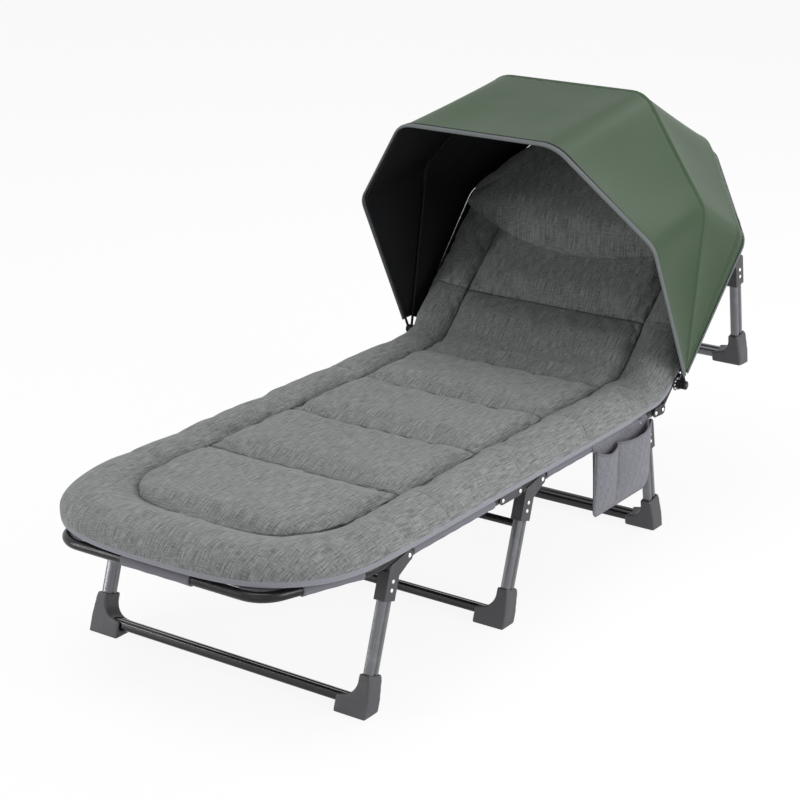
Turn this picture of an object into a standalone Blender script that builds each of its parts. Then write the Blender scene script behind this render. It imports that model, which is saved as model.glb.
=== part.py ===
"""Folding cot with a padded mattress, a ratchet backrest and a fan canopy.

Metres, +Z up. +Y runs from the foot end to the head end, +X is the sleeper's
left side, the floor is z = 0 and the origin is under the middle of the cot.
"""
import math

import bpy
from mathutils import Vector

# Lengths along the frame, from the foot end
FOOT_TUBE_Y = -0.8520
FOOT_LENGTH = 0.621
LINK_LENGTH = 0.062
SEAT_LENGTH = 0.574
BACK_LENGTH = 0.612
FOOT_LEG_FROM_LINK = 0.311
MIDDLE_LEG_FROM_LINK = 0.0845
REAR_LEG_FROM_HINGE = 0.098
HEAD_LEG_FROM_HINGE = 0.3985

# Frame tubes
RAIL_X = 0.312
RAIL_Z = 0.270
RAIL_RADIUS = 0.010
RAIL_WALL = 0.0012
RAIL_END_OVERHANG = 0.010
FOOT_TAPER = 0.217
FOOT_END_HALF = 0.232
FOOT_SIDE_BEND = 0.15
FOOT_END_BEND = 0.060
HEAD_TAPER = 0.137
HEAD_END_HALF = 0.165
HEAD_BEND = 0.06
BACK_TUBE_START = 0.032
BACK_ANGLE = math.radians(43)
HINGE_RISE = 0.0

# Legs
PIVOT_DROP = 0.003
LEG_WIDTH = 0.018
LEG_DEPTH = 0.030
LEG_WALL = 0.0012
LEG_CORNER = 0.004
LEG_GROOVE = 0.008
LEG_GROOVE_DEPTH = 0.0025
LEG_OFFSET = 0.039
LEG_TOP = 0.0305
LEG_BEND = 0.030
BAR_CLEARANCE = 0.007
FOOT_LEAN = math.radians(18)
REAR_LEAN = math.radians(10.6)
HEAD_REST_LEAN = math.radians(-34)
BRACE_RADIUS = 0.0075
BRACE_DROP = 0.0925

# Leg brackets and their rivets
BRACKET_WALL = 0.0017
BRACKET_BOTTOM = 0.0835
BRACKET_EAR = 0.0115
RIVET_RADIUS = 0.0036
RIVET_HEIGHT = 0.0014
RIVET_DROPS = (0.0468, 0.0633)
PIN_RADIUS = 0.003
PIN_HEAD = 0.0048
PIN_HEAD_HEIGHT = 0.0014

# Foot caps
CAP_HEIGHT = 0.075
CAP_REACH = 0.072
CAP_HALF_DEPTH = 0.021
CAP_SIDE = 0.009
CAP_TOP_WALL = 0.003
CAP_ARM_HEIGHT = 0.030
CAP_CURVE = 0.030

# Fold links and backrest hinges
LINK_HALF_HEIGHT = 0.0095
LINK_PLATE = 0.002
HINGE_RADIUS = 0.0115
HINGE_PLATE = 0.002
HINGE_PLATE_LENGTH = 0.030
KNUCKLE_WIDTH = 0.010
KNUCKLE_ROOT = 0.0092
KNUCKLE_TIP = 0.0112
KNUCKLE_TEETH = 16
COLLAR_WALL = 0.0013
COLLAR_LENGTH = 0.030

# Slings under the mattress
CLOTH = 0.0015
SLEEVE_GAP = 0.0003
SLING_EDGE_INSET = 0.004
SLING_NARROW_GAP = 0.003
SLEEVE_FROM_LEG = 0.004
SLEEVE_FROM_HINGE = 0.016
SEAT_SLEEVE_GAP = 0.008
BACK_SLEEVE_GAP = 0.010
SLANT_SLEEVE = (0.251, 0.325)
END_SLEEVE_HALF = 0.046
HEAD_SLEEVE_HALF = 0.06

# Mattress
PAD_HALF = 0.335
PAD_HEIGHT = 0.064
PAD_RIM = 0.107
PAD_RIM_STEPS = (0.0, 0.006, 0.022, 0.054, 0.088)
PAD_PANEL_STEPS = 6
PAD_SEAM_DEPTH = 0.017
PAD_PANEL_DROP = 0.004
PAD_PUFF = 0.020
PAD_UNDERSIDE = 0.14
PAD_SIDE_SEAM = 0.30
PAD_END_DEPTH = 0.30
PAD_END_ROUNDNESS = 3.0
PAD_OVERHANG = 0.022
PAD_HEAD_OVERHANG = 0.020
PAD_SEAMS = (0.397, 0.662, 0.911, 1.146)
PAD_BACK_SEAM = 0.155
FOLD_PAD_END = 0.047
PAD_HINGE_ROOM = 0.006
PILLOW_START = 0.272
PILLOW_BOW = 0.9
PILLOW_INSET = 0.014
PILLOW_HEIGHT = 0.046

# Canopy
HUB_ALONG = 0.060
HUB_RISE = 0.013
HUB_RADIUS = 0.015
HUB_PLATE = 0.003
HUB_PLATE_X = 0.3355
HUB_CLIP_LENGTH = 0.024
HUB_CLIP_WALL = 0.0014
BOW_RADIUS = 0.003
BOW_X = (0.3435, 0.3505, 0.3575)
BOW_ANGLES = (math.radians(48.5), math.radians(80.6), math.radians(116.1))
BOW_SCALES = (0.9706, 0.9785, 1.0)
BOW_TOP_HALF = 0.185
BOW_PAST_PAD = 0.038
BOW_SHOULDER = 0.228
BOW_BEND = 0.022
BOW_LUG = 0.0095
HEM_ANGLE = math.radians(43.4)
CANOPY_CLOTH = 0.0018
CANOPY_START = 0.030
HEM_LIP = math.radians(1.0)
PANEL_SPLIT = math.radians(0.2)
BOW_SLACK = 0.0008

# Side pocket
POCKET_START = 0.277
POCKET_LENGTH = 0.228
POCKET_TOP = 0.010
POCKET_DEPTH = 0.157
POCKET_SIDE = 0.0200
POCKET_THICKNESS = 0.016
POCKET_DIVIDER = 0.38
POCKET_CORNER = 0.030
POCKET_FRONT_CORNER = 0.012
POCKET_FLOOR = 0.008
POCKET_MOUTH_DROP = 0.006
POCKET_SCOOP = 0.022
POCKET_FLAP_DROP = 0.020
POCKET_FLAP_SHORT = 0.060

CLEARANCE = 0.0003
ROUND_SIDES = 10
PIN_SIDES = 8

# Places worked out from the sizes above
LINK_FOOT_Y = FOOT_TUBE_Y + FOOT_LENGTH
LINK_SEAT_Y = LINK_FOOT_Y + LINK_LENGTH
HINGE_Y = LINK_SEAT_Y + SEAT_LENGTH
HINGE_Z = RAIL_Z + HINGE_RISE
PIVOT_Z = RAIL_Z - PIVOT_DROP
FOOT_LEG_Y = LINK_FOOT_Y - FOOT_LEG_FROM_LINK
MIDDLE_LEG_Y = LINK_SEAT_Y + MIDDLE_LEG_FROM_LINK
REAR_LEG_Y = HINGE_Y - REAR_LEG_FROM_HINGE
BRACKET_HALF = RAIL_RADIUS + CLEARANCE + BRACKET_WALL
RAIL_ROOM = RAIL_RADIUS + CLEARANCE
PAD_BOTTOM = RAIL_RADIUS + SLEEVE_GAP + CLOTH + CLEARANCE
BOW_TOP = BACK_LENGTH + PAD_HEAD_OVERHANG - HUB_ALONG + BOW_PAST_PAD
BOW_SIDE = BOW_TOP - BOW_SHOULDER


def clear_scene():
    for item in list(bpy.data.objects):
        bpy.data.objects.remove(item, do_unlink=True)


def material(name, colour, roughness, metallic=0.0):
    made = bpy.data.materials.new(name)
    made.use_nodes = True
    shader = made.node_tree.nodes["Principled BSDF"]
    shader.inputs["Base Color"].default_value = (*colour, 1.0)
    shader.inputs["Roughness"].default_value = roughness
    shader.inputs["Metallic"].default_value = metallic
    made.diffuse_color = (*colour, 1.0)
    return made


def empty(name, location, tilt=0.0, parent=None):
    """A carrier on a joint's axis, turned by tilt about X."""
    made = bpy.data.objects.new(name, None)
    made.location = location
    made.rotation_euler = (tilt, 0.0, 0.0)
    made.parent = parent
    bpy.context.scene.collection.objects.link(made)
    return made


def mesh_object(name, points, faces, finish, parent=None, sharp=40):
    mesh = bpy.data.meshes.new(name)
    mesh.from_pydata([tuple(p) for p in points], [], faces)
    mesh.validate()
    mesh.update()
    made = bpy.data.objects.new(name, mesh)
    mesh.materials.append(finish)
    made.parent = parent
    bpy.context.scene.collection.objects.link(made)
    mesh.shade_smooth()
    mesh.set_sharp_from_angle(angle=math.radians(sharp))
    return made


def cutter(name, points, faces, finish, parent=None):
    """A guide solid that only takes part in Booleans."""
    made = mesh_object(name, points, faces, finish, parent)
    made.hide_render = True
    made.display_type = "WIRE"
    return made


def boolean(target, tool, operation):
    step = target.modifiers.new(operation.lower(), "BOOLEAN")
    step.operation = operation
    step.solver = "EXACT"
    step.object = tool


def ring_band(first, second):
    """Quads between two closed rings given as index lists."""
    count = len(first)
    return [(first[i], first[(i + 1) % count], second[(i + 1) % count], second[i]) for i in range(count)]


def arc(centre, radius, start, end, steps):
    """Points of an arc in a plane, angles in degrees."""
    made = []
    for i in range(steps + 1):
        turn = math.radians(start + (end - start) * i / steps)
        made.append((centre[0] + radius * math.cos(turn), centre[1] + radius * math.sin(turn)))
    return made


def prism(outline, low, high, axis="X"):
    """Points and faces of an outline drawn along one axis.

    Along X the outline is (y, z), along Y it is (x, z), along Z it is (x, y).
    """
    def place(u, v, w):
        if axis == "X":
            return (w, u, v)
        if axis == "Y":
            return (u, w, v)
        return (u, v, w)

    area = 0.0
    count = len(outline)
    for i in range(count):
        u, v = outline[i]
        p, q = outline[(i + 1) % count]
        area += u * q - p * v
    ordered = list(outline) if (area > 0) != (axis == "Y") else list(reversed(outline))
    points = [place(u, v, low) for u, v in ordered] + [place(u, v, high) for u, v in ordered]
    bottom = list(range(count))
    top = list(range(count, 2 * count))
    faces = [tuple(reversed(bottom)), tuple(top)] + ring_band(bottom, top)
    return points, faces


def disc(centre, radius, low, high, sides=PIN_SIDES):
    """A round pin along X through the point (y, z)."""
    outline = []
    for i in range(sides):
        angle = 2 * math.pi * i / sides
        outline.append((centre[0] + radius * math.cos(angle), centre[1] + radius * math.sin(angle)))
    return prism(outline, low, high)


def joined(shapes):
    """Several point and face lists as one, for parts that a Boolean reads together."""
    points = []
    faces = []
    for more_points, more_faces in shapes:
        base = len(points)
        points += more_points
        faces += [tuple(base + i for i in face) for face in more_faces]
    return points, faces


def mirror_side(shape, side):
    """The shape as it is for side 1, or mirrored in X for side -1."""
    points, faces = shape
    if side > 0:
        return points, faces
    return [(-x, y, z) for x, y, z in points], [tuple(reversed(face)) for face in faces]


def filleted(corners, radii, steps):
    """A polyline in a plane with each inner corner rounded by its radius."""
    path = [Vector(corners[0])]
    for i in range(1, len(corners) - 1):
        corner = Vector(corners[i])
        back = (Vector(corners[i - 1]) - corner).normalized()
        ahead = (Vector(corners[i + 1]) - corner).normalized()
        half = back.angle(ahead) / 2
        reach = radii[i - 1] / math.tan(half)
        centre = corner + (back + ahead).normalized() * (radii[i - 1] / math.sin(half))
        start = corner + back * reach - centre
        sweep = math.pi - 2 * half
        sense = 1 if back.cross(ahead) < 0 else -1
        for k in range(steps + 1):
            angle = sense * sweep * k / steps
            turned = Vector((start.x * math.cos(angle) - start.y * math.sin(angle),
                             start.x * math.sin(angle) + start.y * math.cos(angle)))
            path.append(centre + turned)
    path.append(Vector(corners[-1]))
    return path


def sweep(path, outer, inner, lift):
    """A tube or bar along a flat path.

    outer and inner are profiles of (across, along the plane's normal); lift turns
    a path point, its left-hand normal and a profile height into a 3-D point.
    """
    rings = []
    points = []
    count = len(path)
    for profile in (outer, inner):
        if profile is None:
            continue
        row = []
        for i, spot in enumerate(path):
            ahead = (path[min(i + 1, count - 1)] - spot)
            behind = (spot - path[max(i - 1, 0)])
            if ahead.length < 1e-9:
                ahead = behind
            if behind.length < 1e-9:
                behind = ahead
            tangent = (ahead.normalized() + behind.normalized()).normalized()
            normal = Vector((-tangent.y, tangent.x))
            stretch = 1.0 / max(0.5, tangent.dot(ahead.normalized()))
            ring = []
            for across, height in profile:
                ring.append(len(points))
                flat = spot + normal * (across * stretch)
                points.append(lift(flat, height))
            row.append(ring)
        rings.append(row)
    faces = []
    outside = rings[0]
    for first, second in zip(outside, outside[1:]):
        faces += ring_band(first, second)
    if inner is None:
        faces.append(tuple(reversed(outside[0])))
        faces.append(tuple(outside[-1]))
    else:
        inside = rings[1]
        for first, second in zip(inside, inside[1:]):
            faces += ring_band(second, first)
        faces += ring_band(inside[0], outside[0])
        faces += ring_band(outside[-1], inside[-1])
    return points, faces


def facing_out(shape):
    """The same shape with its faces turned so that its volume is positive."""
    points, faces = shape
    volume = 0.0
    for face in faces:
        a = Vector(points[face[0]])
        for i in range(1, len(face) - 1):
            volume += a.dot(Vector(points[face[i]]).cross(Vector(points[face[i + 1]])))
    if volume < 0:
        faces = [tuple(reversed(face)) for face in faces]
    return points, faces


def circle(radius, sides=ROUND_SIDES):
    return [(radius * math.cos(2 * math.pi * i / sides), radius * math.sin(2 * math.pi * i / sides))
            for i in range(sides)]


def flat_at(z):
    """Lift for paths drawn in the (x, y) plane at height z."""
    return lambda flat, height: (flat.x, flat.y, z + height)


def round_tube(path, radius, wall, z=0.0, sides=ROUND_SIDES):
    inner = circle(radius - wall, sides) if wall else None
    return facing_out(sweep(path, circle(radius, sides), inner, flat_at(z)))


def end_loop(start, corner, end, end_half, bends, steps=4):
    """Centreline of a bent end tube from the left rail round to the right rail."""
    corners = [(-RAIL_X, start), (-RAIL_X, corner), (-end_half, end),
               (end_half, end), (RAIL_X, corner), (RAIL_X, start)]
    return filleted(corners, (bends[0], bends[1], bends[1], bends[0]), steps)


def foot_path(start):
    return end_loop(start, FOOT_TUBE_Y + FOOT_TAPER, FOOT_TUBE_Y, FOOT_END_HALF, (FOOT_SIDE_BEND, FOOT_END_BEND))


def head_path(start):
    return end_loop(start, BACK_LENGTH - HEAD_TAPER, BACK_LENGTH, HEAD_END_HALF, (HEAD_BEND, HEAD_BEND))


def pin_holes(name, places, height, finish, parent=None, radius=PIN_RADIUS):
    """Cross holes through both rails, as one cutter for a whole section."""
    shapes = []
    reach = 2 * RAIL_RADIUS
    for along in places:
        for side in (-1, 1):
            low = side * RAIL_X - reach
            shapes.append(disc((along, height(along)), radius + CLEARANCE, low, low + 2 * reach))
    return cutter(name, *joined(shapes), finish, parent)


def leg_section(inset=0.0):
    """Rounded flat-oval leg profile with a pressed groove along its inner face."""
    half_w = LEG_WIDTH / 2 - inset
    half_d = LEG_DEPTH / 2 - inset
    corner = LEG_CORNER - inset
    groove = LEG_GROOVE / 2 + inset
    depth = LEG_GROOVE_DEPTH
    outline = []
    for centre, start in (((half_w - corner, half_d - corner), 0), ((-half_w + corner, half_d - corner), 90)):
        outline += arc(centre, corner, start, start + 90, 2)
    outline += [(-half_w, groove), (-half_w + depth, groove - depth)]
    outline += [(-half_w + depth, depth - groove), (-half_w, -groove)]
    for centre, start in (((-half_w + corner, corner - half_d), 180), ((half_w - corner, corner - half_d), 270)):
        outline += arc(centre, corner, start, start + 90, 2)
    return outline


def sole_height(along, lean):
    """Height of the floor in a leg's own frame, at the distance along from its pivot."""
    return (-PIVOT_Z - along * math.sin(lean)) / math.cos(lean)


def bar_height(side, lean):
    lowest = LEG_WIDTH / 2 * math.cos(lean) + LEG_DEPTH / 2 * abs(math.sin(lean))
    rise = (BAR_CLEARANCE + lowest) / math.cos(lean)
    return sole_height(side * LEG_OFFSET, lean) + rise


def leg_path(side, lean):
    level = bar_height(side, lean)
    corners = [(-RAIL_X, -LEG_TOP), (-RAIL_X, level), (RAIL_X, level), (RAIL_X, -LEG_TOP)]
    return filleted(corners, (LEG_BEND, LEG_BEND), 3)


def leg_lift(side):
    return lambda flat, height: (flat.x, side * LEG_OFFSET + height, flat.y)


def leg_tube(side, lean):
    return facing_out(sweep([p for p in leg_path(side, lean)], [(-a, b) for a, b in leg_section()],
                            [(-a, b) for a, b in leg_section(LEG_WALL)], leg_lift(side)))


def leg_space(side, lean):
    """The leg tube's room inside its caps, a clearance larger all round."""
    half_w = LEG_WIDTH / 2 + CLEARANCE
    half_d = LEG_DEPTH / 2 + CLEARANCE
    box = [(half_w, half_d), (-half_w, half_d), (-half_w, -half_d), (half_w, -half_d)]
    return facing_out(sweep(leg_path(side, lean), box, None, leg_lift(side)))


def bracket_outline(side):
    """Side view of a leg bracket: sleeve below, ear round the pivot, rounded front corner."""
    front = LEG_OFFSET + LEG_DEPTH / 2 + CLEARANCE + BRACKET_WALL
    rear = LEG_OFFSET - LEG_DEPTH / 2 - CLEARANCE - BRACKET_WALL
    shoulder = 0.014
    corner = 0.010
    outline = [(rear, -BRACKET_BOTTOM), (front, -BRACKET_BOTTOM)]
    outline += arc((front - corner, -shoulder - corner), corner, 0, 75, 4)
    outline += arc((0.0, 0.0), BRACKET_EAR, 72, 250, 7)
    outline += [(rear, -LEG_TOP - 0.006)]
    return [(side * y, z) for y, z in outline]


def leg_bracket(name, side, hand, finish, parent):
    """Sheet bracket: closed sleeve on the leg, open fork over the rail."""
    low = hand * RAIL_X - BRACKET_HALF
    high = hand * RAIL_X + BRACKET_HALF
    body = mesh_object(name, *facing_out(prism(bracket_outline(side), low, high)), finish, parent)
    slot = RAIL_RADIUS + CLEARANCE
    rear = LEG_OFFSET - LEG_DEPTH / 2 - CLEARANCE - BRACKET_WALL
    fork = [(0.09, -LEG_TOP + CLEARANCE), (rear, -LEG_TOP + CLEARANCE), (rear, -0.11),
            (-0.05, -0.11), (-0.05, 0.05), (0.09, 0.05)]
    fork = [(side * y, z) for y, z in fork]
    shapes = [facing_out(prism(fork, hand * RAIL_X - slot, hand * RAIL_X + slot))]
    half_w = LEG_WIDTH / 2 + CLEARANCE
    half_d = LEG_DEPTH / 2 + CLEARANCE
    bore = [(side * LEG_OFFSET - half_d, -0.11), (side * LEG_OFFSET + half_d, -0.11),
            (side * LEG_OFFSET + half_d, -LEG_TOP + 0.001), (side * LEG_OFFSET - half_d, -LEG_TOP + 0.001)]
    shapes.append(facing_out(prism(bore, hand * RAIL_X - half_w, hand * RAIL_X + half_w)))
    room = cutter(name + "_fork", *shapes[0], finish, parent)
    boolean(body, room, "DIFFERENCE")
    room = cutter(name + "_bore", *shapes[1], finish, parent)
    boolean(body, room, "DIFFERENCE")
    eye = disc((0.0, 0.0), PIN_RADIUS + CLEARANCE, low - 0.01, high + 0.01)
    room = cutter(name + "_eye", *eye, finish, parent)
    boolean(body, room, "DIFFERENCE")
    heads = []
    for drop in RIVET_DROPS:
        spot = (side * LEG_OFFSET, -drop)
        heads.append(rivet_head(spot, low, -1))
        heads.append(rivet_head(spot, high, 1))
    room = cutter(name + "_rivets", *joined(heads), finish, parent)
    boolean(body, room, "UNION")
    return body


def rivet_head(spot, face, sense, radius=RIVET_RADIUS, height=RIVET_HEIGHT, sides=8):
    """A low domed head standing on a plate's face, its foot sunk into the plate."""
    rings = ((radius, -0.0006), (0.65 * radius, height))
    points = []
    for size, out in rings:
        for i in range(sides):
            angle = 2 * math.pi * i / sides
            points.append((face + sense * out, spot[0] + size * math.cos(angle), spot[1] + size * math.sin(angle)))
    rows = [list(range(k * sides, (k + 1) * sides)) for k in range(2)]
    faces = ring_band(rows[0], rows[1]) + [tuple(reversed(rows[0])), tuple(rows[1])]
    return facing_out((points, faces))


def headed_pin(low, high, spot=(0.0, 0.0), sides=PIN_SIDES):
    """A rivet pin along X with a low domed head beyond each end, one turned profile."""
    profile = [(low - PIN_HEAD_HEIGHT, 0.6 * PIN_HEAD), (low, PIN_HEAD), (low, PIN_RADIUS),
               (high, PIN_RADIUS), (high, PIN_HEAD), (high + PIN_HEAD_HEIGHT, 0.6 * PIN_HEAD)]
    points = []
    for x, radius in profile:
        for i in range(sides):
            angle = 2 * math.pi * i / sides
            points.append((x, spot[0] + radius * math.cos(angle), spot[1] + radius * math.sin(angle)))
    rows = [list(range(k * sides, (k + 1) * sides)) for k in range(len(profile))]
    faces = [tuple(reversed(rows[0])), tuple(rows[-1])]
    for first, second in zip(rows, rows[1:]):
        faces += ring_band(first, second)
    return facing_out((points, faces))


def cap_outline(side, lean):
    """Front view of a foot cap, x measured from the leg's centreline outward."""
    outer = LEG_WIDTH / 2 + CAP_SIDE
    inner_top = -LEG_WIDTH / 2 - CAP_TOP_WALL
    arm_end = outer - CAP_REACH
    outline = [(arm_end, -0.03), (outer, -0.03), (outer, 0.030)]
    outline += [(outer - 0.004, CAP_HEIGHT - 0.006), (outer - 0.007, CAP_HEIGHT), (inner_top, CAP_HEIGHT)]
    curve = (inner_top - CAP_CURVE, CAP_ARM_HEIGHT + CAP_CURVE)
    outline += arc(curve, CAP_CURVE, 0, -90, 6)
    outline += [(arm_end, CAP_ARM_HEIGHT - 0.003)]
    return outline


def foot_cap(name, side, lean, hand, finish, parent):
    """Moulded foot: a sleeve up the leg, an arm along the bar and a curved web between."""
    base = sole_height(side * LEG_OFFSET, lean)
    outline = [(hand * (RAIL_X + x), base + z) for x, z in cap_outline(side, lean)]
    middle = side * LEG_OFFSET
    shape = facing_out(prism(outline, middle - CAP_HALF_DEPTH, middle + CAP_HALF_DEPTH, "Y"))
    body = mesh_object(name, *shape, finish, parent)
    room = cutter(name + "_leg", *leg_space(side, lean), finish, parent)
    boolean(body, room, "DIFFERENCE")
    reach = 0.1
    floor = [(middle - reach, sole_height(middle - reach, lean)), (middle + reach, sole_height(middle + reach, lean)),
             (middle + reach, -1.0), (middle - reach, -1.0)]
    room = cutter(name + "_floor", *facing_out(prism(floor, hand * RAIL_X - reach, hand * RAIL_X + reach)),
                  finish, parent)
    boolean(body, room, "DIFFERENCE")
    return body


def hand_name(hand):
    return "left" if hand > 0 else "right"


def make_leg(name, side, lean, finishes, carrier, section):
    """One folding leg: bent tube, two caps, two brackets and their two pivot pins."""
    mesh_object(name + "_tube", *leg_tube(side, lean), finishes["leg"], carrier)
    for hand in (-1, 1):
        label = hand_name(hand)
        foot_cap(f"{name}_cap_{label}", side, lean, hand, finishes["cap"], carrier)
        leg_bracket(f"{name}_bracket_{label}", side, hand, finishes["bracket"], carrier)
        low = hand * RAIL_X - BRACKET_HALF - CLEARANCE
        high = hand * RAIL_X + BRACKET_HALF + CLEARANCE
        pin = mesh_object(f"{name}_pin_{label}", *headed_pin(low, high), finishes["rivet"], section)
        pin.location = carrier.location


def make_brace(lean, finish, carrier):
    """Round tube between the middle leg's uprights."""
    reach = RAIL_X - LEG_WIDTH / 2 + LEG_GROOVE_DEPTH - CLEARANCE
    path = [Vector((-reach, -LEG_OFFSET)), Vector((reach, -LEG_OFFSET))]
    shape = round_tube(path, LEG_GROOVE / 2 - LEG_GROOVE_DEPTH, 0.0, -BRACE_DROP, 8)
    core = mesh_object("middle_leg_brace", *shape, finish, carrier)
    reach = RAIL_X - LEG_WIDTH / 2 - CLEARANCE
    path = [Vector((-reach, -LEG_OFFSET)), Vector((reach, -LEG_OFFSET))]
    body = cutter("middle_leg_brace_body", *round_tube(path, BRACE_RADIUS, 0.0, -BRACE_DROP, 12), finish, carrier)
    boolean(core, body, "UNION")
    return core


def slotted_plate(y0, y1, half, low, high):
    """A plate with round ends between two rivets."""
    outline = arc((y1, 0.0), half, -90, 90, 8) + arc((y0, 0.0), half, 90, 270, 8)
    return facing_out(prism(outline, low, high))


def make_link(hand, finishes, carrier):
    """Fold link: one plate outside the rails with its two rivets through them."""
    inner = RAIL_RADIUS + CLEARANCE
    low = RAIL_X + inner
    high = low + LINK_PLATE
    plate = slotted_plate(0.0, LINK_LENGTH, LINK_HALF_HEIGHT, low, high)
    body = mesh_object(f"fold_link_{hand_name(hand)}", *mirror_side(plate, hand), finishes["bracket"], carrier)
    pins = []
    for along in (0.0, LINK_LENGTH):
        pins.append(headed_pin(RAIL_X - inner, high, (along, 0.0)))
    tool = cutter(f"fold_link_{hand_name(hand)}_pins", *mirror_side(joined(pins), hand), finishes["rivet"], carrier)
    boolean(body, tool, "UNION")
    return body


def make_hinge_housing(hand, finishes):
    """Two plates on the seat rail's end, joined by a fixed rivet and by the hinge pin."""
    inner = RAIL_RADIUS + CLEARANCE
    tail = HINGE_Y - HINGE_PLATE_LENGTH
    shapes = []
    for low in (RAIL_X - inner - HINGE_PLATE, RAIL_X + inner):
        outline = arc((HINGE_Y, HINGE_Z), HINGE_RADIUS, -80, 95, 8)
        outline += arc((tail, RAIL_Z), HINGE_RADIUS - 0.0015, 95, 250, 6)
        shapes.append(facing_out(prism(outline, low, low + HINGE_PLATE)))
    name = f"hinge_housing_{hand_name(hand)}"
    body = mesh_object(name, *mirror_side(shapes[0], hand), finishes["bracket"])
    tool = cutter(name + "_outer", *mirror_side(shapes[1], hand), finishes["bracket"])
    boolean(body, tool, "UNION")
    reach = inner + HINGE_PLATE
    pins = joined([headed_pin(RAIL_X - reach, RAIL_X + reach, (tail, RAIL_Z)),
                   headed_pin(RAIL_X - reach, RAIL_X + reach, (HINGE_Y, HINGE_Z))])
    tool = cutter(name + "_pins", *mirror_side(pins, hand), finishes["rivet"])
    boolean(body, tool, "UNION")
    return body


def make_knuckle(hand, finishes, carrier):
    """Ratchet knuckle on the backrest tube: toothed hub, neck and clamping collar."""
    outline = []
    count = 2 * KNUCKLE_TEETH
    for i in range(KNUCKLE_TEETH):
        start = math.radians(205) + 2 * math.pi * i / count
        outline.append((KNUCKLE_TIP * math.cos(start), KNUCKLE_TIP * math.sin(start)))
        later = start + 1.7 * math.pi / count
        outline.append((KNUCKLE_ROOT * math.cos(later), KNUCKLE_ROOT * math.sin(later)))
    outline += arc((0.0, 0.0), KNUCKLE_ROOT, 25, 150, 8)
    half = KNUCKLE_WIDTH / 2
    name = f"hinge_knuckle_{hand_name(hand)}"
    hub = facing_out(prism(outline, RAIL_X - half, RAIL_X + half))
    body = mesh_object(name, *mirror_side(hub, hand), finishes["bracket"], carrier)
    neck = [(0.002, -0.007 - HINGE_RISE), (BACK_TUBE_START + 0.004, -0.007 - HINGE_RISE),
            (BACK_TUBE_START + 0.004, 0.007 - HINGE_RISE), (0.002, 0.007 - HINGE_RISE)]
    half -= CLEARANCE
    tool = cutter(name + "_neck", *mirror_side(facing_out(prism(neck, RAIL_X - half, RAIL_X + half)), hand),
                  finishes["bracket"], carrier)
    boolean(body, tool, "UNION")
    path = [Vector((RAIL_X, HINGE_RADIUS + 0.004)), Vector((RAIL_X, BACK_TUBE_START + COLLAR_LENGTH))]
    outside = round_tube(path, RAIL_RADIUS + CLEARANCE + COLLAR_WALL, 0.0, -HINGE_RISE)
    tool = cutter(name + "_collar", *mirror_side(outside, hand), finishes["bracket"], carrier)
    boolean(body, tool, "UNION")
    path = [Vector((RAIL_X, BACK_TUBE_START - CLEARANCE)), Vector((RAIL_X, BACK_TUBE_START + 2 * COLLAR_LENGTH))]
    socket = round_tube(path, RAIL_ROOM, 0.0, -HINGE_RISE)
    tool = cutter(name + "_socket", *mirror_side(socket, hand), finishes["bracket"], carrier)
    boolean(body, tool, "DIFFERENCE")
    eye = disc((0.0, 0.0), PIN_RADIUS + CLEARANCE, RAIL_X - 0.03, RAIL_X + 0.03)
    tool = cutter(name + "_eye", *mirror_side(eye, hand), finishes["bracket"], carrier)
    boolean(body, tool, "DIFFERENCE")
    return body


def make_rails(finishes, foot, back):
    """The bent foot tube, two straight seat rails and the bent backrest tube, with their cross holes."""
    start = LINK_FOOT_Y + RAIL_END_OVERHANG
    path = [Vector((p.x, p.y - LINK_FOOT_Y)) for p in foot_path(start)]
    tube = mesh_object("foot_tube", *round_tube(path, RAIL_RADIUS, RAIL_WALL), finishes["frame"], foot)
    holes = pin_holes("foot_tube_link_holes", (0.0,), lambda y: 0.0, finishes["frame"], foot)
    boolean(tube, holes, "DIFFERENCE")
    holes = pin_holes("foot_tube_leg_holes", (-FOOT_LEG_FROM_LINK,), lambda y: -PIVOT_DROP, finishes["frame"], foot)
    boolean(tube, holes, "DIFFERENCE")

    rail_end = HINGE_Y - KNUCKLE_TIP - 0.002
    holes = pin_holes("seat_rail_holes", (LINK_SEAT_Y, HINGE_Y - HINGE_PLATE_LENGTH), lambda y: RAIL_Z,
                      finishes["frame"])
    pivots = pin_holes("seat_rail_leg_holes", (MIDDLE_LEG_Y, REAR_LEG_Y), lambda y: PIVOT_Z, finishes["frame"])
    for hand in (-1, 1):
        path = [Vector((hand * RAIL_X, LINK_SEAT_Y - RAIL_END_OVERHANG)), Vector((hand * RAIL_X, rail_end))]
        rail = mesh_object(f"seat_rail_{hand_name(hand)}", *round_tube(path, RAIL_RADIUS, RAIL_WALL, RAIL_Z),
                           finishes["frame"])
        boolean(rail, holes, "DIFFERENCE")
        boolean(rail, pivots, "DIFFERENCE")

    shape = round_tube(head_path(BACK_TUBE_START), RAIL_RADIUS, RAIL_WALL, -HINGE_RISE)
    tube = mesh_object("backrest_tube", *shape, finishes["frame"], back)
    holes = pin_holes("backrest_leg_holes", (HEAD_LEG_FROM_HINGE,), lambda y: -HINGE_RISE - PIVOT_DROP,
                      finishes["frame"], back)
    boolean(tube, holes, "DIFFERENCE")


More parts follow.
